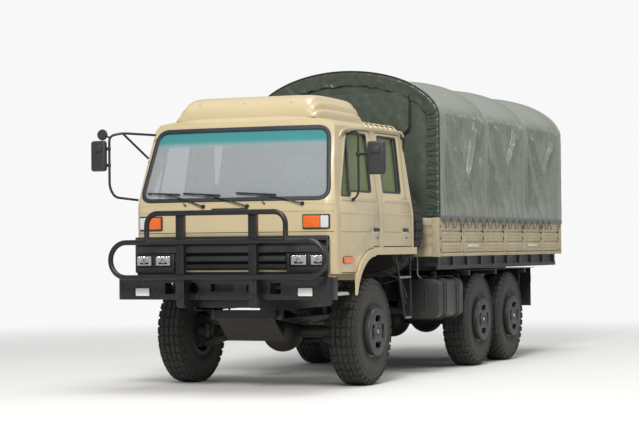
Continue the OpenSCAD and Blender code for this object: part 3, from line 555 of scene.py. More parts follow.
def lathe_shape(profile: Iterable[Flat], centre: Point, axis: str = "X",
        steps: int = 64) -> bmesh.types.BMesh:
    """A turned solid.

    Args:
        profile: Points as (radius, place along the axis), closed by the axis or by itself.
        centre: A point on the axis.
        axis: The axis it turns about.
        steps: Steps in the full turn.

    Returns:
        The shape.
    """
    along = {"X": Vector((1, 0, 0)), "Y": Vector((0, 1, 0)), "Z": Vector((0, 0, 1))}[axis]
    out = {"X": Vector((0, 0, 1)), "Y": Vector((0, 0, 1)), "Z": Vector((1, 0, 0))}[axis]
    shape = bmesh.new()
    verts = [shape.verts.new(out * radius + along * place) for radius, place in profile]
    for start, end in zip(verts, verts[1:]):
        shape.edges.new((start, end))
    bmesh.ops.spin(shape, geom=shape.verts[:] + shape.edges[:], cent=(0, 0, 0), axis=along,
                   angle=math.tau, steps=steps, use_merge=True, use_duplicate=False)
    bmesh.ops.remove_doubles(shape, verts=shape.verts[:], dist=1e-5)
    bmesh.ops.recalc_face_normals(shape, faces=shape.faces[:])
    bmesh.ops.translate(shape, verts=shape.verts[:], vec=Vector(centre))
    return shape


def bent_path(points: Sequence[Sequence[float]], radius: float, steps: int = 5) -> list[Vector]:
    """Rounds a path's corners with smooth bends.

    Args:
        points: The path's corners.
        radius: How far before and after a corner its bend reaches.
        steps: Points in each bend.

    Returns:
        The rounded path.
    """
    corners = [Vector(p) for p in points]
    path = [corners[0]]
    for before, here, after in zip(corners, corners[1:], corners[2:]):
        reach = min(radius, (before - here).length * 0.45, (after - here).length * 0.45)
        start = here + (before - here).normalized() * reach
        end = here + (after - here).normalized() * reach
        for i in range(steps + 1):
            t = i / steps
            path.append(start * (1 - t) ** 2 + here * 2 * t * (1 - t) + end * t ** 2)
    return path + [corners[-1]]


def tube_shape(points: Sequence[Sequence[float]], radius: float, closed: bool = False,
        fine: int = 2) -> bmesh.types.BMesh:
    """A round tube along a path.

    Args:
        points: The points of its middle line.
        radius: The tube's radius.
        closed: Joins its end to its start.
        fine: Roundness of its section.

    Returns:
        The shape.
    """
    curve = bpy.data.curves.new("tube", "CURVE")
    curve.dimensions = "3D"
    curve.bevel_depth = radius
    curve.bevel_resolution = fine
    curve.use_fill_caps = not closed
    spline = curve.splines.new("POLY")
    spline.points.add(len(points) - 1)
    for spot, place in zip(spline.points, points):
        spot.co = (*place, 1.0)
    spline.use_cyclic_u = closed
    holder = bpy.data.objects.new("tube", curve)
    bpy.context.scene.collection.objects.link(holder)
    mesh = bpy.data.meshes.new_from_object(holder.evaluated_get(bpy.context.evaluated_depsgraph_get()))
    bpy.data.objects.remove(holder)
    bpy.data.curves.remove(curve)
    shape = bmesh.new()
    shape.from_mesh(mesh)
    bpy.data.meshes.remove(mesh)
    bmesh.ops.remove_doubles(shape, verts=shape.verts[:], dist=1e-6)
    bmesh.ops.recalc_face_normals(shape, faces=shape.faces[:])
    return shape


def node_shape(name: str, bevel: float = 0.004, segments: int = 2, angle: float = 30.0) -> bmesh.types.BMesh:
    """A copy of a frame node, with its sharp edges rounded.

    Args:
        name: The node.
        bevel: Radius of its rounded edges.
        segments: Steps round each edge.
        angle: Edges sharper than this are rounded, in degrees.

    Returns:
        The shape.
    """
    shape = bmesh.new()
    shape.from_mesh(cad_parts[name].data)
    bmesh.ops.remove_doubles(shape, verts=shape.verts[:], dist=1e-5)
    bmesh.ops.dissolve_limit(shape, angle_limit=math.radians(0.5), verts=shape.verts[:], edges=shape.edges[:])
    sharp = [e for e in shape.edges if len(e.link_faces) == 2
        and e.calc_face_angle(0.0) > math.radians(angle)]
    if bevel > 0 and sharp:
        bmesh.ops.bevel(shape, geom=sharp, offset=bevel, segments=segments, profile=0.5,
                        affect="EDGES", clamp_overlap=True, material=-1)
    return shape


def mirrored(shape: bmesh.types.BMesh, side: Side) -> bmesh.types.BMesh:
    """Turns a left-hand shape into one for the given side.

    Args:
        shape: The left-hand shape.
        side: Where it goes.

    Returns:
        The same shape, mirrored for the right side.
    """
    if side is Side.RIGHT:
        bmesh.ops.scale(shape, vec=(-1, 1, 1), verts=shape.verts[:])
        bmesh.ops.reverse_faces(shape, faces=shape.faces[:])
    return shape


def rounded_outline(corners: Sequence[Flat], radius: float, steps: int = 6) -> list[Flat]:
    """A closed outline with its corners rounded.

    Args:
        corners: The outline's corners.
        radius: How far each bend reaches.
        steps: Points in each bend.

    Returns:
        The outline's points, without a repeated end.
    """
    flat = [Vector((*c, 0.0)) for c in corners]
    ends = bent_path([*flat[-1:], *flat, flat[0]], radius, steps)[1:-1]
    return [(p.x, p.y) for p in ends]


def grown(outline: Sequence[Flat], by: float) -> list[Flat]:
    """Moves a closed outline out along its normals.

    Args:
        outline: Points in order.
        by: Distance outwards, or inwards if below zero.

    Returns:
        The moved outline.
    """
    count = len(outline)
    area = sum(outline[i][0] * outline[(i + 1) % count][1] - outline[(i + 1) % count][0] * outline[i][1]
               for i in range(count))
    turn = by if area > 0 else -by
    moved = []
    for i, (a, b) in enumerate(outline):
        before, after = outline[i - 1], outline[(i + 1) % count]
        run = Vector((after[0] - before[0], after[1] - before[1])).normalized()
        moved.append((a + run.y * turn, b - run.x * turn))
    return moved


class Skin:
    """The outer surface of some frame nodes, to lay trim on."""

    def __init__(self, *names: str) -> None:
        """Gathers the nodes' faces.

        Args:
            *names: The nodes.
        """
        points: list[Vector] = []
        faces: list[tuple[int, ...]] = []
        for name in names:
            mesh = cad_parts[name].data
            start = len(points)
            points += [v.co.copy() for v in mesh.vertices]
            faces += [tuple(start + i for i in p.vertices) for p in mesh.polygons]
        self.tree = BVHTree.FromPolygons(points, faces)

    def front(self, x: float, z: float, off: float = 0.0) -> Vector:
        """The point met looking back from the front, raised by off."""
        spot = self.tree.ray_cast(Vector((x, -6.0, z)), Vector((0, 1, 0)))[0]
        if spot is None:
            spot = self.tree.find_nearest(Vector((x, AXLE_Y - 1.1, z)))[0]
        return spot - Vector((0, off, 0))

    def left(self, y: float, z: float, off: float = 0.0) -> Vector:
        """The point met looking in from the left side, raised by off."""
        spot = self.tree.ray_cast(Vector((2.0, y, z)), Vector((-1, 0, 0)))[0]
        if spot is None:
            spot = self.tree.find_nearest(Vector((1.15, y, z)))[0]
        return spot + Vector((off, 0, 0))


def ring_shape(loops: Sequence[Sequence[Vector]], closed: bool = True) -> bmesh.types.BMesh:
    """A band through matching closed loops.

    Args:
        loops: Loops with the same number of points, in order across the band.
        closed: Joins the last loop back to the first.

    Returns:
        The shape.
    """
    shape = bmesh.new()
    rings = []
    for loop in loops:
        verts = [shape.verts.new(p) for p in loop]
        rings.append([shape.edges.new((verts[i - 1], verts[i])) for i in range(len(verts))])
    pairs = list(zip(rings, rings[1:] + (rings[:1] if closed else [])))
    for one, two in pairs[: None if closed else len(rings) - 1]:
        bmesh.ops.bridge_loops(shape, edges=one + two)
    bmesh.ops.recalc_face_normals(shape, faces=shape.faces[:])
    return shape


def plate_shape(loop: Sequence[Vector], rise: Vector, bevel: float = 0.003) -> bmesh.types.BMesh:
    """A plate raised from a closed loop.

    Args:
        loop: The loop on the surface.
        rise: How far and which way it stands out.
        bevel: Radius of its outer edge.

    Returns:
        The shape.
    """
    shape = bmesh.new()
    face = shape.faces.new([shape.verts.new(p) for p in loop])
    top = bmesh.ops.extrude_face_region(shape, geom=[face])["geom"]
    bmesh.ops.translate(shape, verts=[g for g in top if isinstance(g, bmesh.types.BMVert)], vec=rise)
    bmesh.ops.recalc_face_normals(shape, faces=shape.faces[:])
    rim = [e for g in top if isinstance(g, bmesh.types.BMFace) for e in g.edges]
    if bevel > 0:
        bmesh.ops.bevel(shape, geom=rim, offset=bevel, segments=2, profile=0.5, affect="EDGES", material=-1)
    return shape


class Piece:
    """One visible piece: shapes gathered in a mesh, dressed and put on a body."""

    def __init__(self, name: str, body: str, slot: str, *nodes: str) -> None:
        """Starts an empty piece.

        Args:
            name: The piece's name.
            body: The frame body that it rides on.
            slot: The record's material slot that it belongs to.
            *nodes: Frame nodes that it stands for.
        """
        self.name = name
        self.body = body
        self.slot = slot
        self.nodes = nodes
        self.mesh = bmesh.new()
        self.finishes: list[Finish] = []

    def add(self, shape: bmesh.types.BMesh, finish: Finish) -> "Piece":
        """Adds a shape in a finish, and frees the shape.

        Args:
            shape: The shape.
            finish: Its finish.

        Returns:
            The piece.
        """
        if finish not in self.finishes:
            self.finishes.append(finish)
        index = self.finishes.index(finish)
        for face in shape.faces:
            face.material_index = index
        holder = bpy.data.meshes.new("part")
        shape.to_mesh(holder)
        shape.free()
        self.mesh.from_mesh(holder)
        bpy.data.meshes.remove(holder)
        return self

    def close(self, sharp: float = 32.0) -> bpy.types.Object:
        """Makes the object.

        Args:
            sharp: Edges sharper than this stay crisp, in degrees.

        Returns:
            The finished object.
        """
        data = bpy.data.meshes.new(self.name)
        self.mesh.to_mesh(data)
        self.mesh.free()
        data.shade_smooth()
        data.set_sharp_from_angle(angle=math.radians(sharp))
        for finish in self.finishes:
            data.materials.append(finish.material())
        made = bpy.data.objects.new(self.name, data)
        bpy.context.scene.collection.objects.link(made)
        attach(made, self.body)
        if self.nodes:
            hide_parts(*self.nodes)
        LOG.info("%s: %d faces on %s", self.name, len(data.polygons), self.body)
        return made


def carried(name: str, finish: Finish) -> None:
    """Gives a frame node that stays in view its finish.

    Args:
        name: The node.
        finish: Its finish.
    """
    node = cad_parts[name]
    node.data.materials.clear()
    node.data.materials.append(finish.material())
    node.data.shade_smooth()
    node.data.set_sharp_from_angle(angle=math.radians(28))
    LOG.info("%s: carried over in %s", name, finish.name)


# ---------------------------------------------------------------- tyres and wheels


@dataclass
class Tyre:
    """A coarse cross-country tyre, modelled about one wheel's middle.

    Attributes:
        node: The frame node that it stands for.
        body: The body that it turns with.
        pitches: Tread blocks round each row.
        depth: Depth of the tread.
    """

    node: str
    body: str
    pitches: int = 36
    depth: float = 0.018

    def __post_init__(self) -> None:
        """Reads the size and the place from the frame."""
        low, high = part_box(self.node)
        size = high - low
        self.middle = (low + high) / 2
        self.across = "X" if size.x < size.y else "Y"
        self.width = min(size.x, size.y)
        self.radius = max(size.x, size.y) / 2

    def build(self) -> bpy.types.Object:
        """Makes the casing, the bead and the tread."""
        piece = Piece(self.node + "_look", self.body, "tyre_rubber", self.node)
        piece.add(self.placed(self.casing()), WALL)
        piece.add(self.placed(self.rings()), WALL)
        piece.add(self.placed(self.tread()), TREAD)
        return piece.close(40.0)

    def placed(self, shape: bmesh.types.BMesh) -> bmesh.types.BMesh:
        """Moves a shape made about the origin, across X, to the tyre's place."""
        if self.across == "Y":
            bmesh.ops.rotate(shape, cent=(0, 0, 0), matrix=Matrix.Rotation(math.pi / 2, 3, "Z"),
                verts=shape.verts[:])
        bmesh.ops.translate(shape, verts=shape.verts[:], vec=self.middle)
        return shape

    def casing(self) -> bmesh.types.BMesh:
        """The tyre's body: two bulging side walls and the tread's base."""
        half, top = self.width / 2, self.radius - self.depth
        wall = [(0.268, 0.70), (0.262, 0.76), (0.285, 0.83), (0.335, 0.93), (0.40, 0.985), (0.455, 0.99),
                (0.505, 0.955), (0.54, 0.905), (top - 0.007, 0.80), (top, 0.55)]
        side = [(radius, share * half) for radius, share in wall]
        inner = [(0.29, 0.3 * half), (0.29, -0.3 * half)]
        return lathe_shape(side + [(r, -x) for r, x in reversed(side)] + list(reversed(inner)) + [side[0]],
                           (0, 0, 0), steps=96)

    def rings(self) -> bmesh.types.BMesh:
        """Fine raised rings on both side walls."""
        shape = bmesh.new()
        half = self.width / 2
        for way in (1, -1):
            for radius, share in ((0.318, 0.905), (0.345, 0.945), (0.478, 0.985)):
                x = way * half * share
                loop = [(radius - 0.006, x), (radius - 0.003, x + way * 0.004),
                    (radius + 0.003, x + way * 0.004), (radius + 0.006, x), (radius, x - way * 0.006),
                    (radius - 0.006, x)]
                ring = lathe_shape(loop, (0, 0, 0), steps=72)
                ring.to_mesh(holder := bpy.data.meshes.new("ring"))
                ring.free()
                shape.from_mesh(holder)
                bpy.data.meshes.remove(holder)
        return shape

    def tread(self) -> bmesh.types.BMesh:
        """Four rows of slanted blocks, the outer ones running down the shoulders."""
        step = math.tau * self.radius / self.pitches
        shape = bmesh.new()
        for way in (1, -1):
            self.block(shape, (0.004, 0.058), step, way, 0.52, 0.89, 0.0)
            self.block(shape, (0.064, 0.118), step, way, -0.52, 0.89, 0.26)
            self.block(shape, (0.124, 0.192), step, way, 0.30, 0.74, 0.02)
        around = math.tau * (self.pitches - 1) / self.pitches
        bmesh.ops.spin(shape, geom=shape.verts[:] + shape.edges[:] + shape.faces[:], cent=(0, 0, 0),
            axis=(1, 0, 0), angle=around, steps=self.pitches - 1, use_duplicate=True)
        bmesh.ops.recalc_face_normals(shape, faces=shape.faces[:])
        return shape

    def block(self, shape: bmesh.types.BMesh, span: Flat, step: float, way: int, slant: float,
              fill: float, start: float) -> None:
        """Adds one block, bent round the tyre.

        Args:
            shape: The tread so far.
            span: How far from the middle line it starts and ends, measured along the surface.
            step: The length of one pitch.
            way: 1 or -1, the side of the middle line.
            slant: How far it runs round for each step outwards.
            fill: Its share of the pitch.
            start: Its place in the pitch.
        """
        made = bmesh.ops.create_cube(shape, size=1.0)["verts"]
        bmesh.ops.translate(shape, verts=made, vec=(0.5, 0.0, 0.0))
        bmesh.ops.scale(shape, verts=made, vec=(span[1] - span[0], step * fill, 1.0))
        edges = list({e for v in made for e in v.link_edges})
        upper = [e for e in edges if all(v.co.z > 0 for v in e.verts)]
        cut = bmesh.ops.bevel(shape, geom=upper, offset=0.004, segments=1, profile=0.5, affect="EDGES",
            material=-1)
        points = set(cut["verts"]) | {v for v in made if v.is_valid}
        for vert in points:
            run = span[0] + vert.co.x
            deep = 0.0 if vert.co.z > 0.499 else (0.004 if vert.co.z > 0 else self.depth + 0.012)
            out, height = self.surface(run, deep)
            turn = (vert.co.y + slant * vert.co.x + start * step) / self.radius
            vert.co = Vector((way * out, height * math.sin(turn), height * math.cos(turn)))

    def surface(self, run: float, deep: float) -> Flat:
        """A point below the tread's outer face.

        Args:
            run: Distance from the middle line along the surface.
            deep: Distance below the surface.

        Returns:
            Its distance from the middle plane and from the axis.
        """
        flat, bend = 0.118, 0.042
        crown = 0.004 * (min(run, flat) / flat) ** 2
        if run <= flat:
            return run, self.radius - crown - deep
        angle = min((run - flat) / bend, 1.25)
        past = max(0.0, run - flat - 1.25 * bend)
        across = flat + bend * math.sin(angle) + past * math.cos(1.25)
        height = self.radius - crown - bend * (1 - math.cos(angle)) - past * math.sin(1.25)
        return across - deep * math.sin(angle), height - deep * math.cos(angle)


@dataclass
class Wheel:
    """A steel wheel with its planetary hub, over the frame's own shape.

    Attributes:
        node: The frame node that it stands for.
        body: The body that it turns with.
        side: The side that its face looks to.
        hub: Whether it carries the driven hub.
        hole_ring: Distance of the plugged holes from the middle.
    """

    node: str
    body: str
    side: Side
    hub: bool = True
    hole_ring: float = 0.235

    def build(self) -> bpy.types.Object:
        """Makes the wheel, and on a driven wheel its hub collar, bright cap and hole plugs."""
        low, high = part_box(self.node)
        self.middle = (low + high) / 2
        self.face = high.x if self.side is Side.LEFT else low.x
        piece = Piece(self.node + "_look", self.body, "wheel_grey", self.node)
        piece.add(node_shape(self.node, 0.003, 2, 25.0), WHEEL)
        if self.hub:
            self.dress_hub(piece)
        return piece.close(35.0)

    def dress_hub(self, piece: Piece) -> None:
        """Adds the collar and the bright cap in the centre's recess, and black plugs in four holes.

        Args:
            piece: The wheel's piece.
        """
        out = self.side.value
        face = Vector((self.face, self.middle.y, self.middle.z))
        collar = [(0.0, -0.004), (0.040, -0.004), (0.042, -0.012), (0.0, -0.012)]
        piece.add(lathe_shape([(r, out * x) for r, x in collar], face, steps=40), TRIM)
        cap = [(0.0, 0.006), (0.016, 0.005), (0.021, 0.0), (0.022, -0.008), (0.0, -0.008)]
        piece.add(lathe_shape([(r, out * x) for r, x in cap], face, steps=32), BRIGHT)
        for i in range(4):
            angle = math.tau * (i + 0.5) / 4
            reach = self.hole_ring
            spot = face + Vector((-out * 0.010, reach * math.sin(angle), reach * math.cos(angle)))
            plug = [(0.0, 0.001), (0.0088, 0.001), (0.0088, -0.001), (0.0, -0.001)]
            piece.add(lathe_shape([(r, out * x) for r, x in plug], spot, steps=16), BLACK)


class Tyres:
    """All the tyres and wheels of the truck."""

    PLACES = [(axle, side) for axle in ("front", "middle", "rear") for side in Side]

    def build(self) -> None:
        """Makes six running wheels and the spare."""
        for axle, side in self.PLACES:
            body = f"{axle}_{side.word}_wheel"
            Tyre(f"tyre_{axle}_{side.word}", body).build()
            Wheel(f"wheel_{axle}_{side.word}", body, side).build()
        Tyre("spare_tyre", "chassis").build()
        Wheel("spare_wheel", "chassis", Side.LEFT, hub=False).build()


# ---------------------------------------------------------------- the cab


@dataclass
class Cab:
    """The cab's skin with its trim: seals, beads, lamps, wipers and the roof scoop.

    Attributes:
        body: The body that it rides on.
        seal_width: Width of the windscreen's seal.
        seal_rise: How far the seal stands out.
        wiper_spots: Where each wiper turns, with its blade's two ends.
    """

    body: str = "chassis"
    seal_width: float = 0.034
    seal_rise: float = 0.012
    wiper_spots: tuple[tuple[Flat, Flat, Flat], ...] = (
        ((-0.321, 1.974), (-1.045, 2.131), (-0.624, 2.112)),
        ((0.202, 1.971), (-0.587, 2.123), (-0.131, 2.094)),
        ((0.830, 1.992), (0.053, 2.117), (0.528, 2.090)),
    )

    def __post_init__(self) -> None:
        """Takes the cab's surfaces from the frame."""
        self.skin = Skin("cab_shell")
        self.front = Skin("cab_shell", "cab_glass")

    def build(self) -> None:
        """Makes every part of the cab's outside."""
        self.screen_seal()
        self.rear_seal()
        self.gutter()
        self.pressings()
        self.lamps()
        self.wipers()
        self.grab_tubes()
        self.scoop()

    def screen_outline(self) -> list[Flat]:
        """The windscreen's edge, seen from the front."""
        return rounded_outline([(-1.100, 2.055), (1.100, 2.055), (1.005, 2.805), (-1.005, 2.805)], 0.115, 8)

    def dense(self, outline: Sequence[Flat], step: float = 0.06) -> list[Flat]:
        """Adds points to the long runs of an outline.

        Args:
            outline: The outline's points.
            step: The longest run allowed.

        Returns:
            The outline with its long runs divided.
        """
        points = []
        for i, (a, b) in enumerate(outline):
            c, d = outline[(i + 1) % len(outline)]
            parts = max(1, math.ceil(math.hypot(c - a, d - b) / step))
            points += [(a + (c - a) * k / parts, b + (d - b) * k / parts) for k in range(parts)]
        return points

    def screen_seal(self) -> None:
        """The black rubber round the windscreen, a rounded band."""
        edge = self.dense(self.screen_outline())
        width, rise = self.seal_width, self.seal_rise
        section = ((-0.012, -0.004), (-0.010, rise * 0.8), (0.0, rise), (width * 0.45, rise * 1.15),
                   (width * 0.85, rise * 0.8), (width, 0.001), (width, -0.006))
        place = [self.front.front(x, z) for x, z in grown(edge, 0.012)]
        loops = []
        for by, off in section:
            flat = grown(edge, by)
            loops.append([Vector((x, p.y + (z - p.z) * 0.36 - off, z)) for (x, z), p in zip(flat, place)])
        piece = Piece("windscreen_seal", self.body, "grille_grey")
        piece.add(ring_shape(loops), SEAL)
        piece.close(50.0)

    def rear_seal(self) -> None:
        """The rubber round the cab's back window."""
        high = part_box("cab_shell")[1]
        edge = self.dense(rounded_outline([(-0.48, 2.18), (0.48, 2.18), (0.48, 2.62), (-0.48, 2.62)], 0.09,
            6))
        piece = Piece("back_window_seal", self.body, "grille_grey")
        loops = []
        for by, off in ((-0.008, -0.002), (-0.004, 0.009), (0.018, 0.010), (0.026, -0.003)):
            loop = []
            for x, z in grown(edge, by):
                spot = self.skin.tree.ray_cast(Vector((x * 1.08, 0.5, max(min(z, 2.66), 2.14))),
                    Vector((0, -1, 0)))[0]
                loop.append(Vector((x, (spot.y if spot else high.y) + off, z)))
            loops.append(loop)
        level = [sorted(p.y for p in loop)[len(loop) // 2] for loop in loops]
        for loop, y in zip(loops, level):
            for p in loop:
                p.y = y - (p.z - 2.4) * 0.101
        piece.add(ring_shape(loops), SEAL)
        piece.close(50.0)

    def gutter(self) -> None:
        """The rain channel along the roof's edges, with its pressed ribs."""
        piece = Piece("rain_gutters", self.body, "cab_paint")
        run = ((-0.70, 2.70), (-0.62, 2.775), (-0.50, 2.80), (0.0, 2.832), (0.396, 2.843), (1.22, 2.845),
            (1.29, 2.80))
        for side in Side:
            path = [Vector((1.084, AXLE_Y + y, z)) for y, z in run]
            piece.add(mirrored(tube_shape(bent_path(path, 0.06), 0.013, fine=3), side), SAND)
            path = [Vector((1.092, p.y, p.z + 0.012)) for p in path]
            piece.add(mirrored(tube_shape(bent_path(path, 0.06), 0.005), side), SAND)
        for i in range(7):
            y = AXLE_Y + 0.15 + i * 0.16
            for side in Side:
                rib = tube_shape([(1.066, y, 2.858), (1.03, y, 2.905), (0.97, y, 2.925)], 0.0045)
                piece.add(mirrored(rib, side), SAND)
        piece.close()

    def pressings(self) -> None:
        """The front panel's groove, drawn as a thin black line of painted shade, its crease bead, its black
        strip and the washers.
        """
        piece = Piece("front_pressings", self.body, "cab_paint")
        # At 1.690 a thin black line paints the shade of the panel's groove; at 1.913 a bead in the paint
        # colour.
        for z, radius, finish in ((1.690, 0.003, TRIM), (1.913, 0.007, SAND)):
            points = [self.skin.front(x / 50, z, 0.0005) for x in range(-58, 59)]
            piece.add(tube_shape(points, radius), finish)
        strip = [self.skin.front(x, z, -0.004) for x, z in self.dense(rounded_outline([(-0.23, 1.915),
            (0.21, 1.915), (0.20, 1.951), (-0.22, 1.951)], 0.014, 4))]
        piece.add(plate_shape(strip, Vector((0, -0.02, 0)), 0.005), TRIM)
        for x, z in ((-0.537, 1.985), (0.401, 1.994)):
            foot = self.skin.front(x, z, 0.0)
            piece.add(lathe_shape([(0.0, -0.012), (0.008, -0.010), (0.011, 0.0), (0.011, 0.006),
                (0.0, 0.006)], foot, "Y", 16), TRIM)
            piece.add(tube_shape([foot, foot + Vector((-0.014, -0.014, 0.018)),
                foot + Vector((-0.02, -0.012, 0.03))], 0.005), TRIM)
        piece.close()

    def lamps(self) -> None:
        """The turn lamps on the front and the amber side markers."""
        for side in Side:
            piece = Piece(f"turn_lamp_{side.word}", self.body, "cab_paint")
            frame_edge = self.dense(rounded_outline([(0.831, 1.718), (1.131, 1.718), (1.131, 1.875),
                (0.831, 1.875)], 0.018, 4), 0.03)
            rim = [self.skin.front(x, z, -0.006) for x, z in frame_edge]
            piece.add(mirrored(plate_shape(rim, Vector((0, -0.022, 0)), 0.006), side), SEAL)
            for x0, x1, finish in ((0.845, 1.030, AMBER), (1.036, 1.118, CLEAR_LENS)):
                lens = self.dense(rounded_outline([(x0, 1.732), (x1, 1.732), (x1, 1.861), (x0, 1.861)],
                    0.012, 4), 0.03)
                loop = [self.skin.front(x, z, 0.012) for x, z in lens]
                piece.add(mirrored(plate_shape(loop, Vector((0, -0.016, 0)), 0.007), side), finish)
            piece.close()
        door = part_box("front_door_left")
        for side in Side:
            piece = Piece(f"side_marker_{side.word}", f"front_{side.word}_door", "cab_paint")
            edge = rounded_outline([(door[0].y + 0.045, 1.353), (AXLE_Y - 0.591, 1.353),
                (AXLE_Y - 0.591, 1.419), (door[0].y + 0.045, 1.419)], 0.016, 4)
            for by, off, rise, finish in ((0.004, -0.003, 0.012, SEAL), (-0.003, 0.004, 0.028, AMBER)):
                loop = [Vector((door[1].x + off, y, z)) for y, z in self.dense(grown(edge, by), 0.04)]
                piece.add(mirrored(plate_shape(loop, Vector((rise, 0, 0)), 0.005), side), finish)
            piece.close()

    def wipers(self) -> None:
        """Three wipers parked along the windscreen's foot."""
        for number, (pivot, left, right) in enumerate(self.wiper_spots, 1):
            piece = Piece(f"wiper_{number}", self.body, "grille_grey")
            foot = self.skin.front(*pivot, 0.0)
            knob = [(0.0, -0.036), (0.012, -0.035), (0.019, -0.026), (0.022, 0.0), (0.022, 0.01), (0.0, 0.01)]
            piece.add(lathe_shape(knob, foot, "Y", 24), TRIM)
            tips = [self.front.front(x, z, 0.02) for x, z in (left, right)]
            middle = tips[0].lerp(tips[1], 0.55)
            start = foot + Vector((0, -0.03, 0))
            bend = start.lerp(middle, 0.42) + Vector((0, -0.02, 0.012))
            piece.add(tube_shape(bent_path([start, bend, middle + Vector((0, -0.022, 0))], 0.06), 0.0075),
                TRIM)
            piece.add(tube_shape([bend, middle + Vector((0, -0.022, 0))], 0.005), TRIM)
            bow = [tips[0].lerp(tips[1], t) + Vector((0, -0.006 - 0.018 * math.sin(math.pi * t), 0.002))
                   for t in (0.06, 0.2, 0.35, 0.55, 0.75, 0.9, 0.96)]
            piece.add(tube_shape(bow, 0.006), TRIM)
            for t in (0.06, 0.3, 0.75, 0.96):
                claw = tips[0].lerp(tips[1], t)
                piece.add(box_shape(claw - Vector((0.012, 0.016, 0.006)),
                    claw + Vector((0.012, 0.004, 0.008)), 0.003), TRIM)
            blade = [tips[0].lerp(tips[1], t / 8) + Vector((0, 0.004, 0)) for t in range(9)]
            piece.add(tube_shape(blade, 0.0065), SEAL)
            piece.close()

    def grab_tubes(self) -> None:
        """The black grab tubes down the cab's rear corners."""
        piece = Piece("grab_tubes", self.body, "chassis_black")
        for side in Side:
            low = self.skin.left(AXLE_Y + 1.28, 1.945, 0.0)
            top = self.skin.left(AXLE_Y + 1.235, 2.79, 0.0)
            out = Vector((0.034, 0.012, 0))
            path = [low, low + out, low + out + Vector((-0.002, 0, 0.05)),
                top + out - Vector((0, 0, 0.05)), top + out, top]
            piece.add(mirrored(tube_shape(bent_path(path, 0.03), 0.0125, fine=3), side), GUARD)
            for foot in (low, top):
                pad = box_shape(foot - Vector((0.004, 0.025, 0.022)), foot + Vector((0.008, 0.025, 0.022)),
                    0.004)
                piece.add(mirrored(pad, side), GUARD)
        piece.close()

    def scoop(self) -> None:
        """The raised air scoop: a rolled front, stepped sides and a flat top."""
        low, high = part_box("roof_scoop")
        half = high.x
        piece = Piece("roof_scoop_look", self.body, "cab_paint", "roof_scoop")
        stations = []
        for i in range(13):
            angle = math.pi / 2 * i / 12
            stations.append((low.y + 0.015 + 0.33 * (1 - math.cos(angle)) ** 1.15,
                2.93 + 0.262 * math.sin(angle)))
        stations += [(AXLE_Y - 0.25, 3.199), (AXLE_Y + 0.0, 3.198), (AXLE_Y + 0.25, 3.194),
            (AXLE_Y + 0.45, 3.187), (AXLE_Y + 0.53, 3.172), (AXLE_Y + 0.58, 3.13), (AXLE_Y + 0.62, 3.04),
            (high.y, 2.95)]
        sections = [self.scoop_section(y, z, half) for y, z in stations]
        shape = bmesh.new()
        rows = []
        for section in sections:
            verts = [shape.verts.new(p) for p in section]
            rows.append([shape.edges.new(pair) for pair in zip(verts, verts[1:])])
        for one, two in zip(rows, rows[1:]):
            bmesh.ops.bridge_loops(shape, edges=one + two)
        bmesh.ops.holes_fill(shape, edges=[e for e in shape.edges if e.is_boundary], sides=0)
        bmesh.ops.recalc_face_normals(shape, faces=shape.faces[:])
        piece.add(shape, SAND)
        for x in (-0.57, -0.02, 0.53):
            nub = self.scoop_nub(Vector((x, low.y + 0.085, 3.105)))
            piece.add(nub, SAND)
        for x in (-0.42, -0.14, 0.14, 0.42):
            seam = [Vector((x, y - 0.0005, z + 0.0008)) for y, z in stations[6:16]]
            piece.add(tube_shape(seam, 0.0022), SAND)
        piece.close(38.0)

    def scoop_section(self, y: float, top: float, half: float) -> list[Vector]:
        """One cross-section of the scoop, from its right foot over to its left.

        Args:
            y: Its place along the truck.
            top: Its height in the middle.
            half: Half its width at the foot.

        Returns:
            The section's points.
        """
        foot = 2.93
        tall = max(top - foot, 0.0)
        side = [(0.0, foot - 0.03), (0.0, foot + 0.10 * tall), (0.004, foot + 0.26 * tall),
            (0.012, foot + 0.33 * tall), (0.034, foot + 0.38 * tall), (0.038, foot + 0.48 * tall),
            (0.042, foot + 0.60 * tall), (0.050, foot + 0.67 * tall), (0.072, foot + 0.73 * tall),
            (0.082, foot + 0.82 * tall), (0.098, foot + 0.91 * tall), (0.13, foot + 0.97 * tall),
            (0.18, foot + tall)]
        left = [(half - 0.012 - inset, z) for inset, z in side]
        middle = [(x, top + 0.004) for x in (0.5, 0.25, 0.0)]
        right = [(-x, z) for x, z in left]
        outline = right + [(-x, z) for x,
            z in middle[:-1]] + [middle[-1]] + list(reversed(middle[:-1])) + list(reversed(left))
        return [Vector((x, y, z)) for x, z in outline]

    def scoop_nub(self, place: Vector) -> bmesh.types.BMesh:
        """A small drip nub on the scoop's front.

        Args:
            place: Its middle.

        Returns:
            Its shape.
        """
        shape = bmesh.new()
        bmesh.ops.create_uvsphere(shape, u_segments=16, v_segments=8, radius=1.0)
        bmesh.ops.scale(shape, vec=(0.028, 0.012, 0.010), verts=shape.verts[:])
        bmesh.ops.translate(shape, vec=place, verts=shape.verts[:])
        return shape


# ---------------------------------------------------------------- grille, bumper and guard


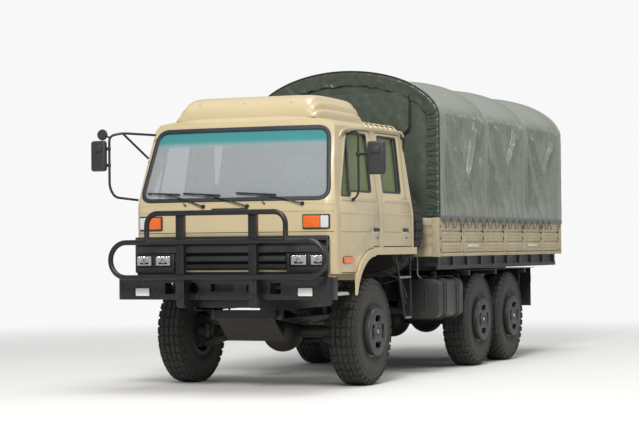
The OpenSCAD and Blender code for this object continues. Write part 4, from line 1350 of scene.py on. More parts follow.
@dataclass
class FrontEnd:
    """The grille with its lamps, the bumper and the tubular guard.

    Attributes:
        body: The body that they ride on.
        lamp_spans: Each headlamp's inner and outer edge, from the middle line.
        lamp_low: The lower edge of the headlamps.
        lamp_high: Their upper edge.
        bars: Each bar's lower and upper edge, and whether it runs the whole width.
        slat_half: Half the width of the short bars.
    """

    body: str = "chassis"
    lamp_spans: tuple[Flat, ...] = ((0.712, 0.894), (0.940, 1.122))
    lamp_low: float = 1.334
    lamp_high: float = 1.444
    bars: tuple[tuple[float, float, bool], ...] = (
        (1.597, 1.650, True), (1.471, 1.545, True), (1.377, 1.436, False), (1.299, 1.350, False))
    slat_half: float = 0.655

    def build(self) -> None:
        """Makes every part."""
        self.grille()
        self.headlamps()
        self.bumper()
        self.guard()

    def grille(self) -> None:
        """The wide dark grille: near-black boxes of painted shade behind and below the slats, the frame,
        slats, lamp surrounds and screws.
        """
        low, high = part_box("grille")
        face, back = low.y, high.y
        half = high.x
        piece = Piece("grille_look", self.body, "grille_grey", "grille")
        # Near-black boxes behind the slats and below the grille: painted shade of the openings.
        piece.add(box_shape((-half + 0.01, face + 0.046, low.z), (half - 0.01, back, high.z - 0.004),
            0.004), GRILLE_SHADE_FILL)
        piece.add(box_shape((-half + 0.02, face + 0.008, low.z - 0.060),
            (half - 0.02, back, low.z + 0.006), 0.004), GRILLE_SHADE_FILL)
        for z0, z1, reach in self.bars:
            across = half if reach else self.slat_half
            piece.add(box_shape((-across, face, z0), (across, face + 0.052, z1), 0.011, 3), GRILLE)
            lip = [(-across + 0.01, face + 0.002, z1 - 0.006), (across - 0.01, face + 0.002, z1 - 0.006)]
            piece.add(tube_shape(lip, 0.005), GRILLE)
        for side in Side:
            for x0, x1, top in ((half - 0.020, half, high.z - 0.012), (0.664, 0.700, 1.466)):
                upright = box_shape((x0, face + 0.002, low.z), (x1, back, top), 0.006)
                piece.add(mirrored(upright, side), GRILLE)
            for z0, z1 in ((low.z, self.lamp_low - 0.012), (self.lamp_high + 0.012, 1.466)):
                piece.add(mirrored(box_shape((0.69, face + 0.003, z0), (half - 0.01, back, z1), 0.006),
                    side), GRILLE)
            piece.add(mirrored(box_shape((0.902, face + 0.006, self.lamp_low - 0.02),
                (0.932, back, self.lamp_high + 0.02), 0.006), side), GRILLE)
            for z in (high.z - 0.03, high.z - 0.145):
                head = [(0.0, -0.003), (0.007, -0.003), (0.008, 0.0), (0.008, 0.006), (0.0, 0.006)]
                for x in (0.62, 1.105):
                    screw = lathe_shape(head, (x, face + 0.002, z), "Y", 12)
                    piece.add(mirrored(screw, side), CAST)
        piece.close()

    def headlamps(self) -> None:
        """Two rectangular headlamps on each side, with bright bowls and fluted lenses."""
        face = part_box("grille")[0].y
        for side in Side:
            piece = Piece(f"headlamps_{side.word}", self.body, "grille_grey")
            for x0, x1 in self.lamp_spans:
                rim = box_shape((x0 - 0.008, face + 0.004, self.lamp_low - 0.008),
                                (x1 + 0.008, face + 0.03, self.lamp_high + 0.008), 0.005)
                piece.add(mirrored(rim, side), TRIM)
                lens = box_shape((x0, face + 0.001, self.lamp_low), (x1, face + 0.03, self.lamp_high),
                    0.014, 4)
                piece.add(mirrored(lens, side), HEAD_LENS)
                middle = Vector(((x0 + x1) / 2, face - 0.0008, (self.lamp_low + self.lamp_high) / 2))
                bulb = lathe_shape([(0.0, -0.0035), (0.024, -0.002), (0.030, 0.0), (0.030, 0.004),
                    (0.0, 0.004)], middle, "Y", 24)
                piece.add(mirrored(bulb, side), BRIGHT)
                shade = box_shape(middle - Vector((0.052, 0.0015, 0.036)),
                    middle + Vector((0.052, 0.004, -0.014)), 0.003)
                piece.add(mirrored(shade, side), SEAL)
            piece.close()

    def bumper(self) -> None:
        """The steel bumper with its fog lamps and bolts."""
        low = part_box("bumper")[0]
        piece = Piece("bumper_look", self.body, "chassis_black", "bumper")
        piece.add(node_shape("bumper", 0.006, 3), GUARD)
        for side in Side:
            lens = box_shape((0.873, low.y - 0.004, 1.012), (1.041, low.y + 0.05, 1.101), 0.010, 3)
            piece.add(mirrored(lens, side), FOG_LENS)
            rim = self.lamp_rim((0.868, 1.046), (1.007, 1.106), low.y - 0.002)
            piece.add(mirrored(rim, side), TRIM)
            for x, z in ((0.72, 1.18), (1.16, 1.18), (0.72, 1.01), (0.26, 1.185), (0.26, 1.0)):
                piece.add(mirrored(self.bolt(Vector((x, low.y, z))), side), GUARD)
        piece.close()

    def lamp_rim(self, across: Flat, up: Flat, face: float) -> bmesh.types.BMesh:
        """A thin frame round a fog lamp.

        Args:
            across: Its left and right edge.
            up: Its lower and upper edge.
            face: Where its front stands.

        Returns:
            Its shape.
        """
        edge = rounded_outline([(across[0], up[0]), (across[1], up[0]), (across[1], up[1]),
            (across[0], up[1])], 0.012, 4)
        loops = [[Vector((x, face + y, z)) for x, z in grown(edge, by)] for by,
            y in ((0.0, 0.02), (0.0, 0.0), (0.002, -0.003), (0.006, -0.003), (0.008, 0.0), (0.008, 0.02))]
        return ring_shape(loops)

    def bolt(self, place: Vector) -> bmesh.types.BMesh:
        """A domed bolt head on a washer, facing forwards.

        Args:
            place: Its middle on the surface.

        Returns:
            Its shape.
        """
        head = [(0.0, -0.007), (0.006, -0.0065), (0.009, -0.004), (0.010, -0.002), (0.014, -0.0015),
            (0.014, 0.004), (0.0, 0.004)]
        return lathe_shape(head, place, "Y", 12)

    def guard(self) -> None:
        """The tubular guard: a wide ring, an upper hoop and two flat posts."""
        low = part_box("bull_bar")[0]
        tube_y = low.y + 0.028
        piece = Piece("bull_bar_look", self.body, "chassis_black", "bull_bar")
        piece.add(node_shape("bull_bar", 0.0025, 2, 40.0), GUARD)
        for x in (-0.425, 0.425):
            for z in (1.215, 1.592, 1.870):
                for off in (-0.03, 0.03):
                    bead = tube_shape([(x - 0.036, tube_y + 0.01, z + off * 0.75),
                        (x + 0.036, tube_y + 0.01, z + off * 0.75)], 0.004)
                    piece.add(bead, GUARD)
        for x in (-0.425, 0.425):
            for z in (1.01, 1.15):
                piece.add(self.bolt(Vector((x, low.y + 0.006, z))), GUARD)
        piece.close(40.0)


# ---------------------------------------------------------------- the canvas cover


@dataclass(frozen=True)
class Fold:
    """A raised crease in the cloth between two bows.

    Attributes:
        start: Where it starts, as its share of the bay and its height.
        end: Where it ends.
        width: Half its width, in metres.
        rise: How far its crest stands out.
        bend: How late it turns along the bay; 1 is straight.
        fade: Share of its rise that is left at its end.
    """

    start: Flat
    end: Flat
    width: float
    rise: float
    bend: float = 1.0
    fade: float = 0.5

    def crest(self, share: float, height: float, bay: float) -> float:
        """How far this crease lifts the cloth at a place.

        Args:
            share: The place's share of the bay.
            height: Its height.
            bay: The bay's length.

        Returns:
            The lift, in metres.
        """
        run = (self.start[1] - height) / (self.start[1] - self.end[1])
        if not -0.12 < run < 1.15:
            return 0.0
        down = min(max(run, 0.0), 1.0)
        centre = self.start[0] + (self.end[0] - self.start[0]) * down ** self.bend
        width = self.width * (1.0 + 0.7 * down)
        away = abs(share - centre) * bay / width
        if away > 2.6:
            return 0.0
        ends = min(1.0, (run + 0.12) / 0.14, (1.15 - run) / 0.3)
        return self.rise * ends * (1.0 - (1.0 - self.fade) * down) * math.exp(-away ** 1.5)


@dataclass
class Cover:
    """The laced canvas over the bed: skin, front wall, drawn edge, flap and rolled curtain.

    Attributes:
        body: The body that it rides on.
        hem: Height of its lower edge.
        spring: Height where the sides turn into the arch.
        shoulder: Height of the seam above the sides' pleats.
        power: Squareness of the arch; 1 is an ellipse.
        cloth: Thickness of the cloth.
        rows: Steps from hem to hem.
        columns: Steps along the truck.
        swell: How strongly the creases stand out.
    """

    body: str = "chassis"
    hem: float = 1.852
    spring: float = 3.09
    shoulder: float = 3.205
    power: float = 1.08
    cloth: float = 0.0028
    rows: int = 128
    columns: int = 364
    swell: float = 2.3

    def __post_init__(self) -> None:
        """Takes the size and the bows' places from the frame."""
        self.low, self.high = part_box("canopy")
        self.half = self.high.x
        first, last = self.low.y + 0.08, self.high.y - 0.15
        self.bows = [first + (last - first) * i / 3 for i in range(4)]
        self.flat_length = self.high.y - self.low.y
        self.folds = {(bay, side): self.creases(bay, side) for bay in range(4) for side in (-1, 1)}

    def creases(self, bay: int, side: int) -> list[Fold]:
        """The creases of one bay of one side.

        Args:
            bay: The bay's number, from the front.
            side: 1 on the left, -1 on the right.

        Returns:
            Its creases.
        """
        dice = random.Random(40 + 10 * bay + side)

        def near(value: float, by: float) -> float:
            """A value moved at random by up to an amount."""
            return value + dice.uniform(-by, by)

        made = []
        for i, reach in enumerate((0.12, 0.25, 0.40, 0.56)):
            made.append(Fold((near(0.035 + 0.022 * i, 0.01), 3.16 - 0.07 * i),
                (near(reach, 0.05), near(1.90 + 0.05 * i, 0.05)), near(0.024, 0.004), near(0.029, 0.005),
                near(1.45, 0.2), 0.6))
        tip = (near(0.60, 0.05), near(2.42, 0.12))
        for start in ((near(0.34, 0.04), near(3.02, 0.05)), (near(0.84, 0.04), near(2.98, 0.06))):
            made.append(Fold(start, tip, near(0.026, 0.004), near(0.028, 0.003), 1.2, 0.9))
        made.append(Fold((near(0.46, 0.04), near(2.72, 0.06)), (near(0.70, 0.04), near(2.12, 0.08)), 0.026,
            0.017, 1.3, 0.8))
        for i in range(2):
            made.append(Fold((near(0.965 - 0.03 * i, 0.01), 3.12),
                (near(0.90 - 0.10 * i, 0.03), near(2.15 + 0.2 * i, 0.1)), 0.018, near(0.014, 0.003), 1.3))
        for i in range(13):
            place = near(0.09 + i * 0.068, 0.016)
            made.append(Fold((place, 3.19), (near(place + 0.015, 0.01), near(2.88, 0.13)), near(0.013, 0.003),
                             near(0.012, 0.005), 1.0, 0.15))
        for place in (0.30, 0.52, 0.74, 0.90):
            place = near(place, 0.05)
            made.append(Fold((place, near(2.45, 0.15)), (near(place + 0.03, 0.02), 1.86), near(0.032, 0.006),
                             near(0.011, 0.003), 1.0, 0.7))
        return made

    def build(self) -> None:
        """Makes every cloth piece."""
        self.skin()
        self.front_wall()
        self.valance()
        self.flap()
        self.curtain()
        self.hem_tape()

    def arch(self, angle: float, inset: float = 0.0) -> Vector:
        """A point on the cover's cross-section.

        Args:
            angle: From -90 degrees, the right side, to 90 degrees, the left.
            inset: Distance inside the outer skin.

        Returns:
            The point, with its place along the truck left at zero.
        """
        half, rise = self.half - inset, self.high.z - inset - self.spring
        turn = math.radians(angle)
        return Vector((half * math.sin(turn), 0.0, self.spring + rise * max(math.cos(turn),
            0.0) ** self.power))

    def outline(self, count: int, inset: float, hem: float) -> list[Vector]:
        """Points over the cross-section, from the right hem to the left, closer at the sides.

        Args:
            count: Number of steps.
            inset: Distance inside the outer skin.
            hem: Height of both ends.

        Returns:
            The points.
        """
        fine = [Vector((-(self.half - inset), 0, hem))]
        fine += [self.arch(-90 + i, inset) for i in range(181)]
        fine += [Vector((self.half - inset, 0, hem))]
        lengths = [0.0]
        for a, b in zip(fine, fine[1:]):
            lengths.append(lengths[-1] + (b - a).length)
        points, k = [], 0
        edge, fine_rows = 1.50 / lengths[-1], 0.37
        for i in range(count + 1):
            share = i / count
            if share < fine_rows:
                share *= edge / fine_rows
            elif share > 1 - fine_rows:
                share = 1 - (1 - share) * edge / fine_rows
            else:
                share = edge + (share - fine_rows) * (1 - 2 * edge) / (1 - 2 * fine_rows)
            target = lengths[-1] * share
            while k < len(fine) - 2 and lengths[k + 1] < target:
                k += 1
            span = lengths[k + 1] - lengths[k]
            points.append(fine[k].lerp(fine[k + 1], (target - lengths[k]) / span if span else 0.0))
        return points

    def bay(self, y: float) -> tuple[float, float, int]:
        """Where a place lies between two bows.

        Args:
            y: Place along the truck.

        Returns:
            Its share of the bay, its nearness to a bow and the bay's number.
        """
        spots = self.bows
        if y <= spots[0]:
            return 0.0, math.exp(-((y - spots[0]) / 0.05) ** 2), 0
        for number, (a, b) in enumerate(zip(spots, spots[1:])):
            if y <= b:
                near = min(y - a, b - y)
                return (y - a) / (b - a), math.exp(-(near / 0.05) ** 2), number
        return 1.0, math.exp(-((y - spots[-1]) / 0.05) ** 2), len(spots) - 1

    def push(self, spot: Vector, y: float) -> float:
        """How far the cloth lies inside its outline at a place.

        Args:
            spot: The point on the cross-section.
            y: Its place along the truck.

        Returns:
            The depth inwards, in metres.
        """
        share, bow, number = self.bay(y)
        height = spot.z
        side = 1 if spot.x > 0 else -1
        upright = min(1.0, max(0.0, (self.shoulder + 0.02 - height) / 0.10))
        taut = min(1.0, 0.4 + 0.6 * (height - self.hem) / 0.3)
        slack = 1.0 - abs(2.0 * share - 1.0) ** 4
        depth = slack * (0.046 * (1.0 - upright) + 0.078 * upright)
        drift = noise.noise(Vector((y * 2.1, height * 1.3, 11.0 * side)))
        depth += 0.008 * drift * slack
        if upright > 0:
            bay = self.bows[1] - self.bows[0]
            wander = share + 0.022 * noise.noise(Vector((y * 3.0, height * 3.2, 5.0 * side)))
            lift = sum(fold.crest(wander, height, bay) for fold in self.folds[number, side])
            depth -= self.swell * lift * upright * (1.0 - bow)
        crinkle = noise.noise(Vector((y * 8.0, height * 6.0, 3.0 * side)))
        depth += 0.005 * crinkle * (1.0 - 0.7 * bow)
        depth += 0.007 * math.exp(-((height - self.shoulder) / 0.014) ** 2) * (1.0 - bow)
        return max(depth * taut * (1.0 - 0.9 * bow), 0.0)

    def grid_piece(self, name: str, across: int, along: int, place: Callable[[float, float], Vector],
            finish: Finish, thick: float) -> bpy.types.Object:
        """A cloth sheet as a grid bent to shape.

        Args:
            name: The piece's name.
            across: Steps in the first direction.
            along: Steps in the second direction.
            place: Gives the point for two shares from 0 to 1.
            finish: The cloth's finish.
            thick: The cloth's thickness.

        Returns:
            The object.
        """
        piece = Piece(name, self.body, "canvas", *(("canopy",) if name == "canopy_skin" else ()))
        shape = bmesh.new()
        bmesh.ops.create_grid(shape, x_segments=across, y_segments=along, size=0.5)
        for vert in shape.verts:
            vert.co = place(vert.co.x + 0.5, vert.co.y + 0.5)
        piece.add(shape, finish)
        made = piece.close(70.0)
        solid = made.modifiers.new("cloth", "SOLIDIFY")
        solid.thickness = thick
        solid.offset = -1.0
        return made

    def skin(self) -> None:
        """The main sheet over sides and roof."""
        base = self.outline(self.rows, 0.004, self.hem)
        outward = []
        for i, spot in enumerate(base):
            run = base[min(i + 1, self.rows)] - base[max(i - 1, 0)]
            outward.append(Vector((-run.z, 0, run.x)).normalized())

        def place(u: float, v: float) -> Vector:
            """The sheet's point for two shares."""
            row = min(self.rows, max(0, round(u * self.rows)))
            y = self.low.y + 0.006 + v * (self.flat_length - 0.012)
            spot = base[row]
            point = spot - outward[row] * self.push(spot, y)
            flutter = 0.006 * noise.noise(Vector((y * 4.0, 3.0, 1.0 if spot.x > 0 else 9.0)))
            lift = flutter * max(0.0, 1.0 - (spot.z - self.hem) / 0.25)
            end = max(0.0, 1.0 - (self.high.y - y) / 0.05)
            return Vector((point.x, y - 0.01 * end * abs(math.sin(spot.z * 14)), point.z + lift))

        made = self.grid_piece("canopy_skin", self.rows, self.columns, place, COVER, self.cloth)

    def front_wall(self) -> None:
        """The wall behind the cab, with soft upright folds."""
        y = self.low.y + 0.075

        def place(u: float, v: float) -> Vector:
            """The wall's point for two shares."""
            x = (u * 2 - 1) * (self.half - 0.035)
            turn = math.degrees(math.asin(max(-1.0, min(1.0, x / (self.half - 0.035)))))
            top = self.arch(turn, 0.035).z
            z = self.hem + v * (top - self.hem)
            fold = 0.022 * noise.noise(Vector((x * 3.4, z * 0.7, 4.0)))
            fold += 0.010 * math.sin(x * 15.0 + 2.5 * noise.noise(Vector((x, z * 0.8, 0))))
            seam = sum(math.exp(-((abs(x) - s) / 0.008) ** 2) for s in (0.30, 0.62)) * 0.004
            return Vector((x, y - fold + seam, z))

        # The front wall is drawn in the darker canvas copy: painted shade.
        made = self.grid_piece("canopy_front_wall", 120, 110, place, SHADED_CANVAS, -self.cloth)

    def valance(self) -> None:
        """The gathered edge drawn in over the front, with radial frills."""
        count = 460
        edge = self.outline(count, 0.004, self.hem + 0.02)
        reach = 0.175

        def place(u: float, v: float) -> Vector:
            """The gathered edge's point for two shares."""
            row = min(count, max(0, round(u * count)))
            spot = edge[row]
            run = edge[min(row + 1, count)] - edge[max(row - 1, 0)]
            inward = Vector((run.z, 0, -run.x)).normalized()
            arc = u * 7.6
            wander = 2.6 * noise.noise(Vector((arc * 2.4, 0.6 * v, 2)))
            puff = 1.0 - abs(math.sin(arc * 17.0 + wander)) ** 0.7
            crease = 1.0 - abs(math.sin(arc * 41.0 + 2.0 * wander + 1.6 * v)) ** 0.6
            deep = reach + 0.024 * puff + 0.016 * noise.noise(Vector((arc * 3.1, 5, 0)))
            forward = 0.030 * math.sin(min(v / 0.22, 1.0) * math.pi / 2)
            ripple = (0.026 * puff + 0.013 * crease) * min(1.0, v * 1.5)
            y = self.low.y + 0.040 - forward + 0.034 * max(0.0, v - 0.25) + ripple
            y -= 0.012 * (noise.noise(Vector((arc * 7.0, v * 2.5, 8))) + 0.2) * v
            return Vector((spot.x, max(y, self.low.y + 0.001), spot.z)) + inward * (0.004 + deep * v)

        # The gathered edge is drawn in the darker canvas copy: painted shade.
        made = self.grid_piece("canopy_gathered_edge", count, 20, place, SHADED_CANVAS, self.cloth * 0.8)

    def flap(self) -> None:
        """The window flap that hangs on the front wall, with its dark trim."""
        half, low, top = 0.84, 2.895, 3.40
        y = self.low.y + 0.052

        def place(u: float, v: float) -> Vector:
            """The flap's point for two shares."""
            x, z = (u * 2 - 1) * half, low + v * (top - low)
            corner = 0.12
            dx, dz = half - abs(x), z - low
            if dx < corner and dz < corner:
                away = Vector((corner - dx, corner - dz))
                if away.length > corner:
                    away = away * (corner / away.length)
                    x, z = math.copysign(half - corner + away.x, x), low + corner - away.y
            curl = 0.010 * noise.noise(Vector((x * 5, z * 4, 8.0))) + 0.006 * noise.noise(Vector((x * 14,
                z * 13, 3.0)))
            return Vector((x, y - 0.008 + curl, z))

        # The flap is drawn in the darker canvas copy: painted shade.
        made = self.grid_piece("canopy_window_flap", 90, 34, place, SHADED_CANVAS, -0.002)
        piece = Piece("canopy_flap_trim", self.body, "canvas")
        points = [(-half, top - 0.02), (-half, low), (half, low), (half, top - 0.02)]
        path = bent_path([Vector((x, y - 0.010, z)) for x, z in points], 0.13, 8)
        piece.add(tube_shape(path, 0.012, fine=3), ROPE)
        piece.close()

    def curtain(self) -> None:
        """The rear curtain, rolled up and tied under the last bow."""
        piece = Piece("canopy_rolled_curtain", self.body, "canvas")
        y, z, radius = self.high.y - 0.065, self.high.z - 0.275, 0.046
        shape = bmesh.new()
        steps, around = 110, 26
        bmesh.ops.create_grid(shape, x_segments=steps, y_segments=around, size=0.5)
        for vert in shape.verts:
            along, turn = vert.co.x + 0.5, (vert.co.y + 0.5) * math.tau * 0.995
            x = -0.845 + 1.69 * along
            tie = sum(math.exp(-((x - t) / 0.03) ** 2) for t in (-0.6, 0.0, 0.6))
            wrap = radius * (1.0 - 0.18 * tie) + 0.004 * noise.noise(Vector((x * 9, turn * 2, 2))) \
                + 0.003 * math.sin(turn * 3 + x * 11)
            vert.co = Vector((x, y + wrap * math.cos(turn), z - 0.012 * math.sin(math.pi * along) + wrap
                * math.sin(turn)))
        bmesh.ops.remove_doubles(shape, verts=shape.verts[:], dist=0.0006)
        bmesh.ops.holes_fill(shape, edges=[e for e in shape.edges if e.is_boundary], sides=0)
        bmesh.ops.recalc_face_normals(shape, faces=shape.faces[:])
        piece.add(shape, COVER)
        for x in (-0.6, 0.0, 0.6):
            ring = [Vector((x, y + 0.046 * math.cos(a), z - 0.006 + 0.046 * math.sin(a)))
                    for a in (math.tau * i / 20 for i in range(20))]
            piece.add(tube_shape(ring, 0.006, closed=True), ROPE)
            roof = self.arch(math.degrees(math.asin(x / self.half))).z
            piece.add(tube_shape([(x, y, z + 0.04), (x + 0.004, y, z + 0.10), (x, y, roof - 0.055)],
                0.006), ROPE)
        made = piece.close(60.0)

    def hem_tape(self) -> None:
        """The stitched tape along both hems, with its eyelets."""
        piece = Piece("canopy_hem", self.body, "canvas")
        for side in Side:
            x = side.value * (self.half - 0.003)
            low = box_shape((min(x, x - side.value * 0.006), self.low.y + 0.02, self.hem - 0.026),
                            (max(x, x - side.value * 0.006), self.high.y - 0.01, self.hem + 0.040), 0.0015, 1)
            # The hem tape is drawn in the darker canvas copy, the painted-shade canvas.
            piece.add(low, SHADED_CANVAS)
            count = 26
            for i in range(count):
                y = self.low.y + 0.12 + (self.flat_length - 0.24) * i / (count - 1)
                eye = [(0.006, 0.0), (0.006, 0.003), (0.010, 0.004), (0.014, 0.002), (0.014, -0.004),
                    (0.006, -0.004), (0.006, 0.0)]
                piece.add(lathe_shape([(r, side.value * d) for r, d in eye], (x, y, self.hem + 0.014),
                    steps=14), WORN)
        piece.close()


# ---------------------------------------------------------------- the bed


@dataclass
class Bed:
    """The low-sided bed: boards, posts, headboard, tailgate, lacing and hooks.

    Attributes:
        body: The body that all but the tailgate rides on.
        ribs: Pressed ribs on each board.
        hook_step: Distance between the lacing's hooks.
    """

    body: str = "chassis"
    ribs: int = 3
    hook_step: float = 0.285

    def __post_init__(self) -> None:
        """Takes the bed's lines from the frame."""
        self.low, self.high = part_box("bed_sides")
        self.out = self.high.x
        self.post_pitch = (self.high.y - self.low.y - 0.07) / 6
        self.posts = [self.low.y + i * self.post_pitch for i in range(7)]

    def build(self) -> None:
        """Makes every part."""
        self.sides()
        self.headboard()
        self.tailgate()
        self.lacing()
        self.planks()
        carried("bows", STEEL)

    def sides(self) -> None:
        """The side boards in their posts, with black blocks of painted shade for their openings, pins and
        steps.
        """
        for side in Side:
            piece = Piece(f"bed_side_{side.word}", self.body, "bed_paint",
                *(("bed_sides",) if side is Side.LEFT else ()))
            for number, y in enumerate(self.posts):
                self.post(piece, side, y)
                if number < 6:
                    self.board(piece, side, y + 0.070, self.posts[number + 1], number)
            rail = box_shape((self.out - 0.04, self.low.y, self.low.z),
                (self.out, self.high.y, self.low.z + 0.040), 0.004)
            piece.add(mirrored(rail, side), BOARD)
            piece.close()

    def planks(self) -> None:
        """The dark under-frame of the floor with its boards laid along it."""
        low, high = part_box("bed_floor")
        piece = Piece("bed_floor_look", self.body, "floor_boards", "bed_floor")
        piece.add(node_shape("bed_floor", 0.002), BLACK)
        count = 10
        wide = (high.x - low.x - 0.02) / count
        for i in range(count):
            x = low.x + 0.01 + i * wide
            board = box_shape((x + 0.003, low.y + 0.01, high.z - 0.004),
                (x + wide - 0.003, high.y - 0.01, high.z + 0.006), 0.002)
            piece.add(board, PLANK)
        piece.close()

    def post(self, piece: Piece, side: Side, y: float) -> None:
        """One channel post with its pins.

        Args:
            piece: The side's piece.
            side: Left or right.
            y: Where the post starts.
        """
        face = self.out
        start, end = max(y - 0.012, self.low.y), min(y + 0.082, self.high.y)
        for a, b, x in ((start, start + 0.014, face), (end - 0.014, end, face),
                (start + 0.014, end - 0.014, face - 0.008)):
            part = box_shape((face - 0.04, a, self.low.z), (x, b, self.high.z), 0.003)
            piece.add(mirrored(part, side), BOARD)
        for z in (self.low.z + 0.055, self.high.z - 0.06):
            head = lathe_shape([(0.0, 0.008), (0.009, 0.007), (0.012, 0.003), (0.012, -0.008), (0.0, -0.008)],
                               (face - 0.004, y + 0.035, z), steps=12)
            piece.add(mirrored(head, side), PIN)

    def board(self, piece: Piece, side: Side, start: float, end: float, number: int) -> None:
        """One drop board with its ribs, two lines of painted groove shade on each rib, black blocks of
        painted shade for its two openings, and its step.

        Args:
            piece: The side's piece.
            side: Left or right.
            start: Its front end.
            end: Its rear end.
            number: Which bay it is in.
        """
        face, low, top = self.out - 0.010, self.low.z + 0.042, self.high.z
        gap = 0.010
        panel = box_shape((self.out - 0.035, start + gap, low), (face - 0.016, end - gap, top), 0.003)
        piece.add(mirrored(panel, side), BOARD)
        pitch = (top - low) / self.ribs
        for i in range(self.ribs):
            z = low + i * pitch
            rib = box_shape((face - 0.026, start + gap, z + 0.007), (face, end - gap, z + pitch - 0.007),
                0.010, 3)
            piece.add(mirrored(rib, side), BOARD)
            # Two thin dark lines on each rib: painted shade of its grooves.
            for up in (0.36, 0.64):
                line = tube_shape([(face - 0.0005, start + gap + 0.02, z + pitch * up),
                    (face - 0.0005, end - 0.06, z + pitch * up)], 0.0022)
                piece.add(mirrored(line, side), GROOVE_SHADE_LINE)
        # Two black blocks near each board's rear end paint the shade inside its openings.
        for z, tall in ((top - 0.150, 0.105), (top - 0.245, 0.050)):
            opening_shade = box_shape((face - 0.01, end - gap - 0.034, z),
                (face + 0.006, end - gap - 0.006, z + tall), 0.005)
            piece.add(mirrored(opening_shade, side), BLACK)
        if number in (1, 4):
            step = box_shape((face - 0.004, start + 0.16, low + 0.070),
                (face + 0.009, end - 0.22, low + 0.100), 0.006, 3)
            piece.add(mirrored(step, side), PALE_RIM)

    def headboard(self) -> None:
        """The ribbed headboard with its corner posts and pins."""
        low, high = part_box("headboard")
        piece = Piece("headboard_look", self.body, "bed_paint", "headboard")
        piece.add(node_shape("headboard", 0.004), BOARD)
        for side in Side:
            corner = box_shape((high.x - 0.085, low.y - 0.005, low.z - 0.004),
                (high.x + 0.003, high.y + 0.055, high.z + 0.003), 0.005)
            piece.add(mirrored(corner, side), BOARD)
            for z in (low.z + 0.08, low.z + 0.22, high.z - 0.10):
                head = lathe_shape([(0.0, 0.006), (0.016, 0.005), (0.018, -0.004), (0.0, -0.004)],
                                   (high.x + 0.004, high.y + 0.012, z), steps=14)
                piece.add(mirrored(head, side), PIN)
        piece.close()

    def tailgate(self) -> None:
        """The tailgate with ribs, hinges and grips."""
        low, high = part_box("tailgate")
        piece = Piece("tailgate_look", "bed_tailgate", "bed_paint", "tailgate")
        piece.add(node_shape("tailgate", 0.004), BOARD)
        spots = [low.x + 0.04 + i * (high.x - low.x - 0.08) / 4 for i in range(5)]
        face = high.y - 0.010
        for a, b in zip(spots, spots[1:]):
            for i in range(4):
                z = low.z + 0.06 + i * 0.095
                piece.add(box_shape((a + 0.045, face - 0.01, z), (b - 0.045, face + 0.006, z + 0.055),
                    0.007, 3), BOARD)
        for x in spots[1:-1]:
            piece.add(tube_shape([(x - 0.05, face + 0.002, low.z + 0.014),
                (x + 0.05, face + 0.002, low.z + 0.014)], 0.010), BLACK)
        for side in Side:
            grip = bent_path([(high.x - 0.10, face + 0.004, high.z - 0.05),
                (high.x - 0.17, face + 0.008, high.z - 0.055), (high.x - 0.175, face + 0.006,
                high.z - 0.13)], 0.03)
            piece.add(mirrored(tube_shape(grip, 0.008), side), BLACK)
        piece.close()

    def hooks(self) -> list[float]:
        """Where the lacing's hooks stand, along the truck."""
        count = int((self.high.y - self.low.y - 0.2) / self.hook_step)
        return [self.low.y + 0.11 + (i + 0.5) * self.hook_step for i in range(count)]

    def lacing(self) -> None:
        """The zig-zag rope from the hem's eyelets down to pale hooks."""
        top, foot = self.high.z + 0.030, self.high.z - 0.105
        for side in Side:
            piece = Piece(f"lacing_hooks_{side.word}", self.body, "bed_paint")
            for y in self.hooks():
                hook = bent_path([(self.out - 0.004, y, foot + 0.026), (self.out + 0.008, y, foot + 0.014),
                    (self.out + 0.012, y, foot - 0.010), (self.out + 0.002, y, foot - 0.016)], 0.01, 3)
                piece.add(mirrored(tube_shape(hook, 0.0045), side), PALE)
            piece.close()
            points = []
            for y in self.hooks():
                points += [(self.out + 0.009, y - self.hook_step / 2, top),
                    (self.out + 0.010, y - 0.006, foot - 0.004), (self.out + 0.010, y + 0.006,
                    foot - 0.004)]
            path = bent_path([Vector(p) for p in points], 0.012, 3)
            piece = Piece(f"lacing_rope_{side.word}", self.body, "canvas")
            piece.add(mirrored(tube_shape(path, 0.0042), side), ROPE)
            piece.close()


# ---------------------------------------------------------------- under and beside the frame


